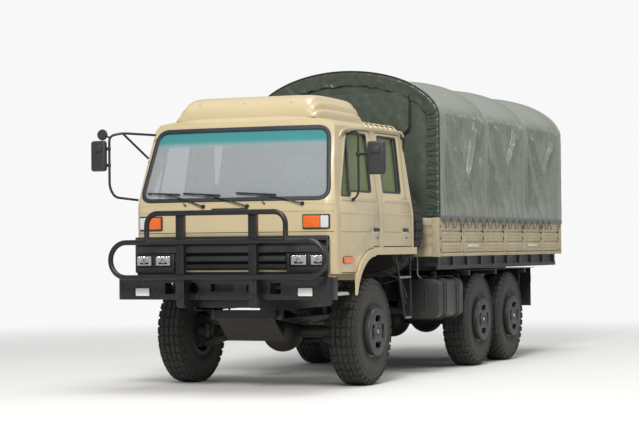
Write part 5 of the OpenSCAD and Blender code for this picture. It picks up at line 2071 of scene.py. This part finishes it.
@dataclass
class Chassis:
    """The frame with its axles, springs, power train and side equipment."""

    body: str = "chassis"

    PLAIN = (("frame", BLACK, 0.003), ("front_axle", BLACK, 0.004), ("rear_axles", BLACK, 0.004),
        ("leaf_springs", BLACK, 0.002), ("tow_hook", BLACK, 0.003), ("skid_guard", BLACK, 0.003),
        ("engine", CAST, 0.008), ("gearbox", CAST, 0.006), ("drive_shafts", CAST, 0.003),
        ("exhaust", PIPE, 0.003), ("spare_rack", BLACK, 0.004), ("mudguards", BLACK, 0.003),
        ("battery_box", BLACK, 0.006),)
    SLOTS = {CAST: "engine_iron", PIPE: "exhaust_steel", BLACK: "chassis_black"}

    def build(self) -> None:
        """Makes every part."""
        for node, finish, bevel in self.PLAIN:
            piece = Piece(node + "_look", self.body, self.SLOTS[finish], node)
            piece.add(node_shape(node, bevel, 2), finish)
            getattr(self, "dress_" + node, lambda _: None)(piece)
            piece.close()
        for side in Side:
            piece = Piece(f"knuckle_{side.word}_look", f"steer_{side.word}", "chassis_black",
                f"knuckle_{side.word}")
            piece.add(node_shape(f"knuckle_{side.word}", 0.003), BLACK)
            piece.close()
        piece = Piece("tie_rod_look", "track_rod", "chassis_black", "tie_rod")
        piece.add(node_shape("tie_rod", 0.003), BLACK)
        piece.close()
        self.tank()
        self.ladders()
        self.stays()
        self.radiator()
        self.rear_lamps()

    def dress_frame(self, piece: Piece) -> None:
        """Adds rows of rivets along the rails' webs."""
        for side in Side:
            for i in range(36):
                y = -3.6 + i * 0.22
                for z in (0.90, 1.06):
                    head = lathe_shape([(0.0, 0.006), (0.006, 0.005), (0.010, 0.0), (0.010, -0.003),
                        (0.0, -0.003)], (0.430, y, z), steps=8)
                    piece.add(mirrored(head, side), BLACK)

    def dress_engine(self, piece: Piece) -> None:
        """Adds ribs on the block."""
        low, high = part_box("engine")
        for i in range(6):
            y = low.y + 0.2 + i * 0.18
            for side in Side:
                rib = box_shape((high.x - 0.002, y, low.z + 0.12),
                    (high.x + 0.012, y + 0.03, high.z - 0.12), 0.005)
                piece.add(mirrored(rib, side), CAST)

    def dress_battery_box(self, piece: Piece) -> None:
        """Adds the lid and pressed ribs."""
        low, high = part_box("battery_box")
        face = low.x
        piece.add(box_shape((face - 0.004, low.y - 0.004, high.z - 0.07),
            (face + 0.40, high.y + 0.004, high.z + 0.004), 0.008), BLACK)
        for i in range(4):
            y = low.y + 0.08 + i * 0.14
            piece.add(box_shape((face - 0.004, y, low.z + 0.06), (face + 0.02, y + 0.05, high.z - 0.12),
                0.010, 3), BLACK)

    def tank(self) -> None:
        """The fuel tank with straps, pressed end grooves, neck and hose."""
        low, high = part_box("fuel_tank")
        piece = Piece("fuel_tank_look", self.body, "chassis_black", "fuel_tank")
        piece.add(node_shape("fuel_tank", 0.004, 2, 35.0), TANK)
        for x in (0.83, 1.02):
            groove = box_shape((x - 0.018, low.y - 0.006, low.z + 0.10),
                (x + 0.018, low.y + 0.02, high.z - 0.18), 0.012, 4)
            piece.add(groove, TANK)
        for start in (0.19, 0.65):
            for off in (-0.012, 0.066):
                y = low.y + start + off
                edge = rounded_outline([(0.712, 0.640), (1.199, 0.640), (1.199, 1.140), (0.712, 1.140)],
                    0.094, 8)
                loop = [Vector((x, y + 0.003, z)) for x, z in edge]
                piece.add(tube_shape(loop, 0.006, closed=True), BLACK)
        cap = [(0.0, 0.058), (0.040, 0.058), (0.052, 0.050), (0.054, 0.020), (0.048, 0.0), (0.0, 0.0)]
        piece.add(lathe_shape(cap, (0.96, low.y + 0.42, 1.165), "Z", 32), TRIM)
        piece.close()
        hose = Piece("tank_hose", self.body, "chassis_black")
        route = [(0.93, low.y - 0.03, 1.40), (0.945, low.y - 0.055, 1.30), (0.94, low.y - 0.06, 1.19),
                 (0.955, low.y - 0.01, 1.145), (0.96, low.y + 0.05, 1.135)]
        hose.add(tube_shape(bent_path(route, 0.05), 0.008), PALE_HOSE)
        hose.close()

    def ladders(self) -> None:
        """The tube ladders with worn rungs, and the tread plates at the front."""
        piece = Piece("cab_ladders_look", self.body, "chassis_black", "cab_ladders")
        for side in Side:
            front = [(1.160, AXLE_Y + 0.80, 1.43), (1.165, AXLE_Y + 1.075, 0.70),
                (1.165, AXLE_Y + 1.265, 0.70), (1.160, AXLE_Y + 1.27, 1.43)]
            piece.add(mirrored(tube_shape(bent_path(front, 0.035), 0.0125, fine=3), side), GUARD)
            piece.add(mirrored(tube_shape([(1.162, AXLE_Y + 0.90, 1.17), (1.162, AXLE_Y + 1.27, 1.17)],
                0.0135, fine=3), side), WORN)
            piece.add(mirrored(tube_shape([(1.165, AXLE_Y + 1.08, 0.703), (1.165, AXLE_Y + 1.26, 0.703)],
                0.0135, fine=3), side), WORN)
            for brace in ([(0.45, AXLE_Y + 1.18, 1.0), (1.162, AXLE_Y + 1.18, 1.17)],
                          [(1.10, AXLE_Y + 0.86, 1.42), (1.162, AXLE_Y + 1.16, 0.93)]):
                piece.add(mirrored(tube_shape(brace, 0.010), side), GUARD)
            step = box_shape((0.965, AXLE_Y - 1.035, 1.010), (1.187, AXLE_Y - 0.695, 1.040), 0.004)
            piece.add(mirrored(step, side), TREAD_PLATE)
            for i in range(9):
                for k in range(6):
                    stud = box_shape((0.985 + k * 0.034, AXLE_Y - 1.015 + i * 0.036, 1.036),
                                     (1.005 + k * 0.034, AXLE_Y - 1.003 + i * 0.036, 1.0445), 0.003, 1)
                    piece.add(mirrored(stud, side), TREAD_PLATE)
            back = box_shape((0.960, AXLE_Y - 1.10, 1.010), (1.185, AXLE_Y - 1.04, 1.215), 0.006)
            piece.add(mirrored(back, side), SAND)
            cheek = box_shape((0.960, AXLE_Y - 1.04, 1.030), (0.975, AXLE_Y - 0.66, 1.240), 0.004)
            piece.add(mirrored(cheek, side), SAND)
            arm = box_shape((0.43, AXLE_Y - 1.09, 1.0), (0.97, AXLE_Y - 1.05, 1.08), 0.004)
            piece.add(mirrored(arm, side), BLACK)
        piece.close()

    def stays(self) -> None:
        """Slender bent rods that hold the mudguards beside the tandem wheels."""
        piece = Piece("mudguard_stays", self.body, "chassis_black")
        for side in Side:
            for y, lean in ((MIDDLE_AXLE.y - 0.66, 0.10), (REAR_AXLE.y + 0.66, -0.10), (AXLE_Y + 0.92, 0.28)):
                path = [(0.45, y, 1.18), (1.02, y, 1.205), (1.13, y + lean * 0.3, 1.16),
                    (1.13, y + lean, 0.86)]
                piece.add(mirrored(tube_shape(bent_path(path, 0.06), 0.010), side), BLACK)
        piece.close()

    def radiator(self) -> None:
        """The radiator and its mesh behind the bumper's openings."""
        piece = Piece("radiator_core", self.body, "chassis_black")
        y = AXLE_Y - 0.84
        piece.add(box_shape((-0.30, y, 0.90), (0.30, y + 0.05, 1.26), 0.006), BLACK)
        for i in range(22):
            z = 0.915 + i * 0.0155
            piece.add(box_shape((-0.29, y - 0.006, z), (0.29, y + 0.01, z + 0.006), 0.001, 1), CAST)
        piece.close()

    def rear_lamps(self) -> None:
        """The lamp boxes at the rear ends, red and amber."""
        piece = Piece("rear_lamps", self.body, "chassis_black")
        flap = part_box("mudguards")
        y = flap[1].y
        for side in Side:
            piece.add(mirrored(box_shape((0.82, y - 0.055, 1.005), (1.14, y - 0.003, 1.125), 0.008), side),
                TRIM)
            for x0, x1, finish in ((0.83, 0.95, RED_LENS), (0.955, 1.04, AMBER), (1.045, 1.13, CLEAR_LENS)):
                lens = box_shape((x0, y - 0.02, 1.015), (x1, y + 0.003, 1.115), 0.006)
                piece.add(mirrored(lens, side), finish)
        piece.close()


# ---------------------------------------------------------------- doors, glass and mirrors


@dataclass
class Doors:
    """The four doors with their seals, beads, handles and locks.

    Attributes:
        handles: Each row's handle, from and to, measured from the front axle.
        windows: Each row's window corners, as place along the truck and height.
    """

    handles: tuple[tuple[str, float, float], ...] = (("front", 0.039, 0.216), ("rear", 0.968, 1.139))

    FRONT_WINDOW = ((-0.855, 2.062), (-0.570, 2.068), (-0.545, 2.122), (0.065, 2.122), (0.100, 2.775),
                    (-0.420, 2.775), (-0.520, 2.690))
    REAR_WINDOW = ((0.425, 2.130), (1.000, 2.130), (1.040, 2.775), (0.430, 2.775))

    def build(self) -> None:
        """Makes every door's trim and glass."""
        for side in Side:
            for row, corners in (("front", self.FRONT_WINDOW), ("rear", self.REAR_WINDOW)):
                self.door(side, row, corners)

    def door(self, side: Side, row: str, corners: Sequence[Flat]) -> None:
        """One door's skin and trim.

        Args:
            side: Left or right.
            row: Front or rear.
            corners: Its window's corners.
        """
        node = f"{row}_door_{side.word}"
        body = f"{row}_{side.word}_door"
        skin = Skin(f"{row}_door_left")
        piece = Piece(node + "_look", body, "cab_paint", node)
        piece.add(node_shape(node, 0.005, 2, 20.0), SAND)
        low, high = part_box(f"{row}_door_left")
        self.handle(piece, side, row, skin)
        self.beads(piece, side, skin, low.y + 0.03, high.y - 0.03)
        piece.close(30.0)
        self.seal(side, row, corners, body)
        self.pane(side, row)

    def beads(self, piece: Piece, side: Side, skin: Skin, start: float, end: float) -> None:
        """The pressed lines along a door: a groove drawn as a thin dark line of painted shade, a crease bead
        and the ledge below the window.

        Args:
            piece: The door's piece.
            side: Left or right.
            skin: The door's surface.
            start: Front end of the lines.
            end: Their rear end.
        """
        # At 1.688 a thin dark line paints the shade of the door's groove; at 1.893 a raised bead in the paint
        # colour.
        for z, radius, finish in ((1.688, 0.0022, GROOVE_SHADE_LINE), (1.893, 0.005, SAND)):
            points = [skin.left(start + (end - start) * i / 20, z, 0.0002) for i in range(21)]
            piece.add(mirrored(tube_shape(points, radius), side), finish)
        face = skin.left((start + end) / 2, 2.04).x
        ledge = box_shape((face - 0.012, start + 0.03, 2.026), (face + 0.009, end - 0.03, 2.062), 0.007, 3)
        piece.add(mirrored(ledge, side), SAND)

    def handle(self, piece: Piece, side: Side, row: str, skin: Skin) -> None:
        """The door's black paddle handle, its pocket and the lock.

        Args:
            piece: The door's piece.
            side: Left or right.
            row: Front or rear.
            skin: The door's surface.
        """
        start, end = next((a, b) for name, a, b in self.handles if name == row)
        face = skin.left(AXLE_Y + (start + end) / 2, 1.703).x
        y0, y1 = AXLE_Y + start, AXLE_Y + end
        pocket = box_shape((face - 0.02, y0, 1.672), (face + 0.004, y1, 1.728), 0.012, 3)
        piece.add(mirrored(pocket, side), PALE_RIM)
        paddle = box_shape((face - 0.01, y0 + 0.006, 1.690), (face + 0.020, y1 - 0.008, 1.732), 0.013, 4)
        piece.add(mirrored(paddle, side), TRIM)
        lock = lathe_shape([(0.0, 0.006), (0.009, 0.006), (0.012, 0.002), (0.012, -0.01), (0.0, -0.01)],
                           (face, (y0 + y1) / 2 + 0.045, 1.622), steps=20)
        piece.add(mirrored(lock, side), TRIM)

    def seal(self, side: Side, row: str, corners: Sequence[Flat], body: str) -> None:
        """The window's rubber and its divider bar.

        Args:
            side: Left or right.
            row: Front or rear.
            corners: The window's corners.
            body: The body that it rides on.
        """
        edge = rounded_outline([(AXLE_Y + y, z) for y, z in corners], 0.045, 5)
        piece = Piece(f"{row}_window_seal_{side.word}", body, "cab_paint")

        def level(z: float) -> float:
            """The door skin's distance from the middle at a height."""
            return 1.185 - max(0.0, z - 1.895) * 0.1202

        loops = [[Vector((level(z) + off, y, z)) for y, z in grown(edge, by)] for by,
            off in ((-0.016, -0.030), (-0.016, -0.006), (-0.010, 0.002), (-0.001, 0.0035), (0.004, 0.0))]
        piece.add(mirrored(ring_shape(loops, closed=False), side), SEAL)
        bars = {"front": [((-0.585, 2.07), (-0.470, 2.765))], "rear": [((0.925, 2.13), (0.965, 2.775))]}[row]
        for (ya, za), (yb, zb) in bars:
            bar = [Vector((level(z) - 0.012, AXLE_Y + y, z)) for y, z in ((ya, za), (yb, zb))]
            shape = tube_shape(bar, 0.014, fine=3)
            piece.add(mirrored(shape, side), SEAL)
        piece.close()

    def pane(self, side: Side, row: str) -> None:
        """The door's glass.

        Args:
            side: Left or right.
            row: Front or rear.
        """
        carried(f"{row}_glass_{side.word}", WINDOW)


@dataclass
class Mirrors:
    """The two door mirrors on their poles."""

    def build(self) -> None:
        """Makes both."""
        self.left()
        self.right()

    def head(self, piece: Piece, low: Vector, high: Vector) -> None:
        """A mirror's rounded housing with its glass.

        Args:
            piece: The mirror's piece.
            low: Its lowest corner.
            high: Its highest corner.
        """
        shape = box_shape(low, high, 0.034, 5)
        piece.add(shape, TRIM_SOFT)
        middle = (low + high) / 2
        glass = box_shape((low.x + 0.014, high.y - 0.004, low.z + 0.016),
            (high.x - 0.014, high.y + 0.003, high.z - 0.016), 0.003)
        piece.add(glass, MIRROR)
        boss = box_shape(middle + Vector((-0.055, low.y - middle.y - 0.020, 0.045)),
                         middle + Vector((0.055, 0.0, 0.125)), 0.016, 3)
        piece.add(boss, TRIM_SOFT)

    def left(self) -> None:
        """The left mirror, on a bent pole that hangs on the front door."""
        pole = Vector((1.270, AXLE_Y - 0.60, 0.0))
        piece = Piece("mirror_left_look", "front_left_door", "chassis_black", "mirror_left")
        path = [(1.105, AXLE_Y - 0.50, 2.748), (1.20, AXLE_Y - 0.56, 2.775), (pole.x, pole.y, 2.76),
                (pole.x, pole.y, 2.13), (pole.x - 0.02, pole.y + 0.02, 2.08), (1.187, pole.y + 0.06, 2.035)]
        piece.add(tube_shape(bent_path(path, 0.05), 0.0115, fine=3), TRIM)
        piece.add(tube_shape([(pole.x - 0.01, pole.y, 2.52), (1.40, pole.y - 0.02, 2.52)], 0.015, fine=3),
            TRIM)
        piece.add(box_shape((pole.x - 0.022, pole.y - 0.020, 2.495),
            (pole.x + 0.022, pole.y + 0.020, 2.545), 0.008), TRIM)
        for spot in ((1.186, pole.y + 0.06, 2.035), (1.108, AXLE_Y - 0.50, 2.748)):
            foot = Vector(spot)
            piece.add(box_shape(foot - Vector((0.014, 0.026, 0.020)), foot + Vector((0.008, 0.026, 0.020)),
                0.006), TRIM)
        self.head(piece, Vector((1.385, pole.y - 0.055, 2.297)), Vector((1.590, pole.y + 0.012, 2.655)))
        piece.close(45.0)

    def right(self) -> None:
        """The right mirror, held out in front on two tube arms."""
        piece = Piece("mirror_right_look", "chassis", "chassis_black", "mirror_right")
        y, front = AXLE_Y - 1.32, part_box("cab_shell")[0].y
        post = [(-1.15, front + 0.075, 2.06), (-1.33, y + 0.04, 2.09), (-1.37, y, 2.20), (-1.37, y, 2.76),
                (-1.24, y + 0.06, 2.79), (-1.025, front + 0.252, 2.78)]
        piece.add(tube_shape(bent_path(post, 0.06), 0.0135, fine=3), TRIM)
        piece.add(tube_shape([(-1.24, y + 0.06, 2.79), (-1.08, front + 0.185, 2.52)], 0.0125, fine=3), TRIM)
        for z in (2.44, 2.62):
            piece.add(box_shape((-1.41, y - 0.016, z - 0.018), (-1.355, y + 0.016, z + 0.018), 0.008), TRIM)
        spot = lathe_shape([(0.0, 0.03), (0.05, 0.024), (0.062, 0.0), (0.056, -0.02), (0.0, -0.024)],
                           (-1.455, y + 0.004, 2.775), "Y", 28)
        piece.add(spot, TRIM_SOFT)
        piece.add(tube_shape([(-1.37, y, 2.745), (-1.455, y + 0.01, 2.775)], 0.010), TRIM)
        head_low = Vector((-1.590, AXLE_Y - 1.355, 2.375))
        head_high = Vector((-1.405, AXLE_Y - 1.288, 2.710))
        self.head(piece, head_low, head_high)
        piece.close(45.0)


# ---------------------------------------------------------------- inside the cab


@dataclass
class Interior:
    """Seats, steering wheel and dashboard.

    Attributes:
        body: The body that they ride on.
        swell: How far a pad's middle stands out.
    """

    body: str = "chassis"
    swell: float = 0.022

    def build(self) -> None:
        """Makes every part."""
        self.seats()
        self.wheel()
        self.dash()

    def pad(self, name: str, low: Sequence[float], high: Sequence[float], lean: float, channels: int,
            along: int) -> bpy.types.Object:
        """A crowned cushion with sewn channels.

        Args:
            name: The piece's name.
            low: Its lowest corner before it leans.
            high: Its highest corner before it leans.
            lean: Its lean to the rear, in degrees.
            channels: Number of sewn channels across it.
            along: The axis that is its thickness, 1 or 2.

        Returns:
            The pad.
        """
        low, high = Vector(low), Vector(high)
        shape = bmesh.new()
        size, middle = high - low, (high + low) / 2
        bmesh.ops.create_cube(shape, size=1.0)
        bmesh.ops.subdivide_edges(shape, edges=shape.edges[:], cuts=15, use_grid_fill=True)
        for vert in shape.verts:
            u = vert.co * 2.0
            face = [1 - abs(u[i]) ** 4 for i in range(3)]
            thick = along
            others = [i for i in range(3) if i != thick]
            crown = face[others[0]] * face[others[1]]
            groove = 0.006 * sum(math.exp(-((u.x - (2 * (k + 1) / channels - 1)) / 0.035) ** 2)
                                 for k in range(channels - 1))
            round_off = Vector((1, 1, 1))
            for i in others:
                round_off[i] = 1 - 0.045 * abs(u[thick]) ** 3
            local = Vector((vert.co[i] * size[i] * round_off[i] for i in range(3)))
            local[thick] += math.copysign(1, u[thick]) * (self.swell * (crown - 1)
                - groove) * abs(u[thick]) ** 3
            vert.co = middle + local
        bmesh.ops.rotate(shape, cent=Vector((middle.x, low.y, low.z)),
            matrix=Matrix.Rotation(math.radians(-lean), 3, "X"), verts=shape.verts[:])
        piece = Piece(name, self.body, "seat_cloth", *(("seats",) if name.startswith("cushion_left") else ()))
        piece.add(shape, SEAT)
        made = piece.close(60.0)
        made.modifiers.new("soft", "SUBSURF").levels = 1
        made.modifiers["soft"].render_levels = 1
        return made

    def seats(self) -> None:
        """Two front seats and the rear bench."""
        front = AXLE_Y - 0.33
        for side in Side:
            x = 0.62 * side.value
            self.pad(f"cushion_{side.word}", (x - 0.27, front + 0.01, 1.645),
                (x + 0.27, front + 0.475, 1.765), 0, 3, 2)
            self.pad(f"backrest_{side.word}", (x - 0.27, front + 0.49, 1.735),
                (x + 0.27, front + 0.58, 2.27), 10, 3, 1)
            base = Piece(f"seat_base_{side.word}", self.body, "dash_plastic")
            base.add(box_shape((x - 0.19, front + 0.04, 1.497), (x + 0.19, front + 0.34, 1.642), 0.02, 3),
                TRIM)
            base.close()
        bench = AXLE_Y + 0.53
        self.pad("bench_cushion", (-0.98, bench + 0.01, 1.72), (0.98, bench + 0.475, 1.84), 0, 9, 2)
        self.pad("bench_backrest", (-0.98, bench + 0.49, 1.81), (0.98, bench + 0.58, 2.34), 10, 9, 1)
        base = Piece("bench_base", self.body, "dash_plastic")
        base.add(box_shape((-0.94, bench + 0.06, 1.562), (0.94, bench + 0.40, 1.717), 0.02, 3), TRIM)
        base.close()

    def wheel(self) -> None:
        """The steering wheel, from the frame's shape with rounded edges."""
        piece = Piece("steering_wheel_look", self.body, "dash_plastic", "steering_wheel")
        piece.add(node_shape("steering_wheel", 0.003, 2, 40.0), TRIM_SOFT)
        piece.close(40.0)

    def dash(self) -> None:
        """The dashboard with its binnacle and vents."""
        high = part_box("dashboard")[1]
        piece = Piece("dashboard_look", self.body, "dash_plastic", "dashboard")
        piece.add(node_shape("dashboard", 0.006, 2), DASH)
        for x in (-0.85, -0.35, 0.25, 0.98):
            vent = box_shape((x - 0.08, high.y - 0.16, high.z - 0.03),
                (x + 0.08, high.y - 0.10, high.z + 0.002), 0.008)
            piece.add(vent, TRIM)
        hood = box_shape((0.42, high.y - 0.22, high.z - 0.04), (0.90, high.y - 0.05, high.z + 0.055), 0.03, 4)
        piece.add(hood, DASH)
        piece.close()


# ---------------------------------------------------------------- the studio


@dataclass
class Studio:
    """The floor, the soft lights and the camera.

    Attributes:
        place: Where the camera stands.
        lens: Its focal length on a 36 mm wide sensor.
        yaw: Its turn to the left of straight along the truck, in degrees.
        pitch: Its tilt upwards, in degrees.
        roll: Its lean, in degrees.
        fade_start: Distance where the floor starts to fade.
        fade_end: Distance where it is gone.
    """

    place: Point = (9.09515, -23.29351, 1.5218)
    lens: float = 111.404
    yaw: float = 22.7619
    pitch: float = 0.9975
    roll: float = -0.5293
    fade_start: float = 5.5
    fade_end: float = 17.0

    def build(self) -> None:
        """Makes all of it."""
        self.floor()
        self.sky()
        self.lamp("key", (5.0, -20.0, 14.0), (0.0, -1.0, 1.6), 5.0, 3800.0, (1.0, 0.985, 0.96))
        self.lamp("side", (17.0, 8.0, 10.0), (0.0, 1.0, 2.2), 4.0, 620.0, (1.0, 0.99, 0.95))
        self.lamp("top", (2.0, 1.0, 18.0), (0.0, 0.5, 2.5), 8.0, 1900.0, (0.97, 0.985, 1.0))
        self.camera()
        bpy.context.scene.view_settings.view_transform = "Standard"
        LOG.info("studio: floor, sky, three lamps and the camera")

    def floor(self) -> None:
        """A wide pale floor that fades into the pale sky."""
        shape = bmesh.new()
        bmesh.ops.create_grid(shape, x_segments=2, y_segments=2, size=90.0)
        data = bpy.data.meshes.new("floor")
        shape.to_mesh(data)
        shape.free()
        made = bpy.data.objects.new("floor", data)
        bpy.context.scene.collection.objects.link(made)
        finish = Finish("pale floor", (0.70, 0.695, 0.68), (0.66, 0.655, 0.64), 0.85, patches=0.3,
            patch_scale=0.4)
        ground = finish.material()
        data.materials.append(ground)
        graph = Graph(ground.node_tree)
        reach = graph.node("ShaderNodeVectorMath", operation="LENGTH")
        graph.put(reach.inputs[0], graph.place())
        fade = graph.ramp(reach.outputs[1], self.fade_start, self.fade_end, (1.0, 0.0))
        graph.put(ground.node_tree.nodes["Principled BSDF"].inputs["Alpha"], fade)

    def sky(self) -> None:
        """A plain soft light from all round."""
        world = bpy.data.worlds.new("soft light")
        world.use_nodes = True
        world.node_tree.nodes["Background"].inputs["Color"].default_value = (1.0, 1.0, 1.0, 1.0)
        graph = Graph(world.node_tree)
        seen = graph.node("ShaderNodeLightPath").outputs["Is Camera Ray"]
        strength = graph.maths("ADD", graph.maths("MULTIPLY", seen, 0.50), 0.44)
        graph.put(graph.tree.nodes["Background"].inputs["Strength"], strength)
        bpy.context.scene.world = world

    def lamp(self, name: str, place: Point, target: Point, size: float, power: float, tint: Colour) -> None:
        """A square area light.

        Args:
            name: The light's name.
            place: Where it hangs.
            target: The point that it faces.
            size: Length of its sides.
            power: Its power in watts.
            tint: Its colour.
        """
        light = bpy.data.lights.new(name, "AREA")
        light.size = size
        light.energy = power
        light.color = tint
        made = bpy.data.objects.new(name, light)
        made.location = place
        made.rotation_euler = (Vector(target) - Vector(place)).to_track_quat("-Z", "Y").to_euler()
        bpy.context.scene.collection.objects.link(made)

    def camera(self) -> None:
        """The camera, turned, tilted and leaned."""
        yaw, pitch, roll = (math.radians(a) for a in (self.yaw, self.pitch, self.roll))
        ahead = Vector((-math.sin(yaw) * math.cos(pitch), math.cos(yaw) * math.cos(pitch), math.sin(pitch)))
        level = Vector((math.cos(yaw), math.sin(yaw), 0.0))
        upright = level.cross(ahead)
        right = level * math.cos(roll) + upright * math.sin(roll)
        up = upright * math.cos(roll) - level * math.sin(roll)
        eye = bpy.data.cameras.new("view")
        eye.lens = self.lens
        eye.sensor_width = 36.0
        eye.clip_end = 400.0
        made = bpy.data.objects.new("view", eye)
        turn = Matrix((right, up, -ahead)).transposed().to_4x4()
        made.matrix_world = Matrix.Translation(self.place) @ turn
        bpy.context.scene.collection.objects.link(made)
        bpy.context.scene.camera = made


# ---------------------------------------------------------------- building it all


def main() -> None:
    """Builds the truck, sub-assembly by sub-assembly."""
    logging.basicConfig(level=logging.INFO, format="%(message)s")
    Studio().build()
    carried("cab_shell", SAND)
    carried("cab_glass", SCREEN)
    Tyres().build()
    Cab().build()
    Doors().build()
    FrontEnd().build()
    Mirrors().build()
    Interior().build()
    Chassis().build()
    Bed().build()
    Cover().build()


if __name__ == "__main__":
    main()
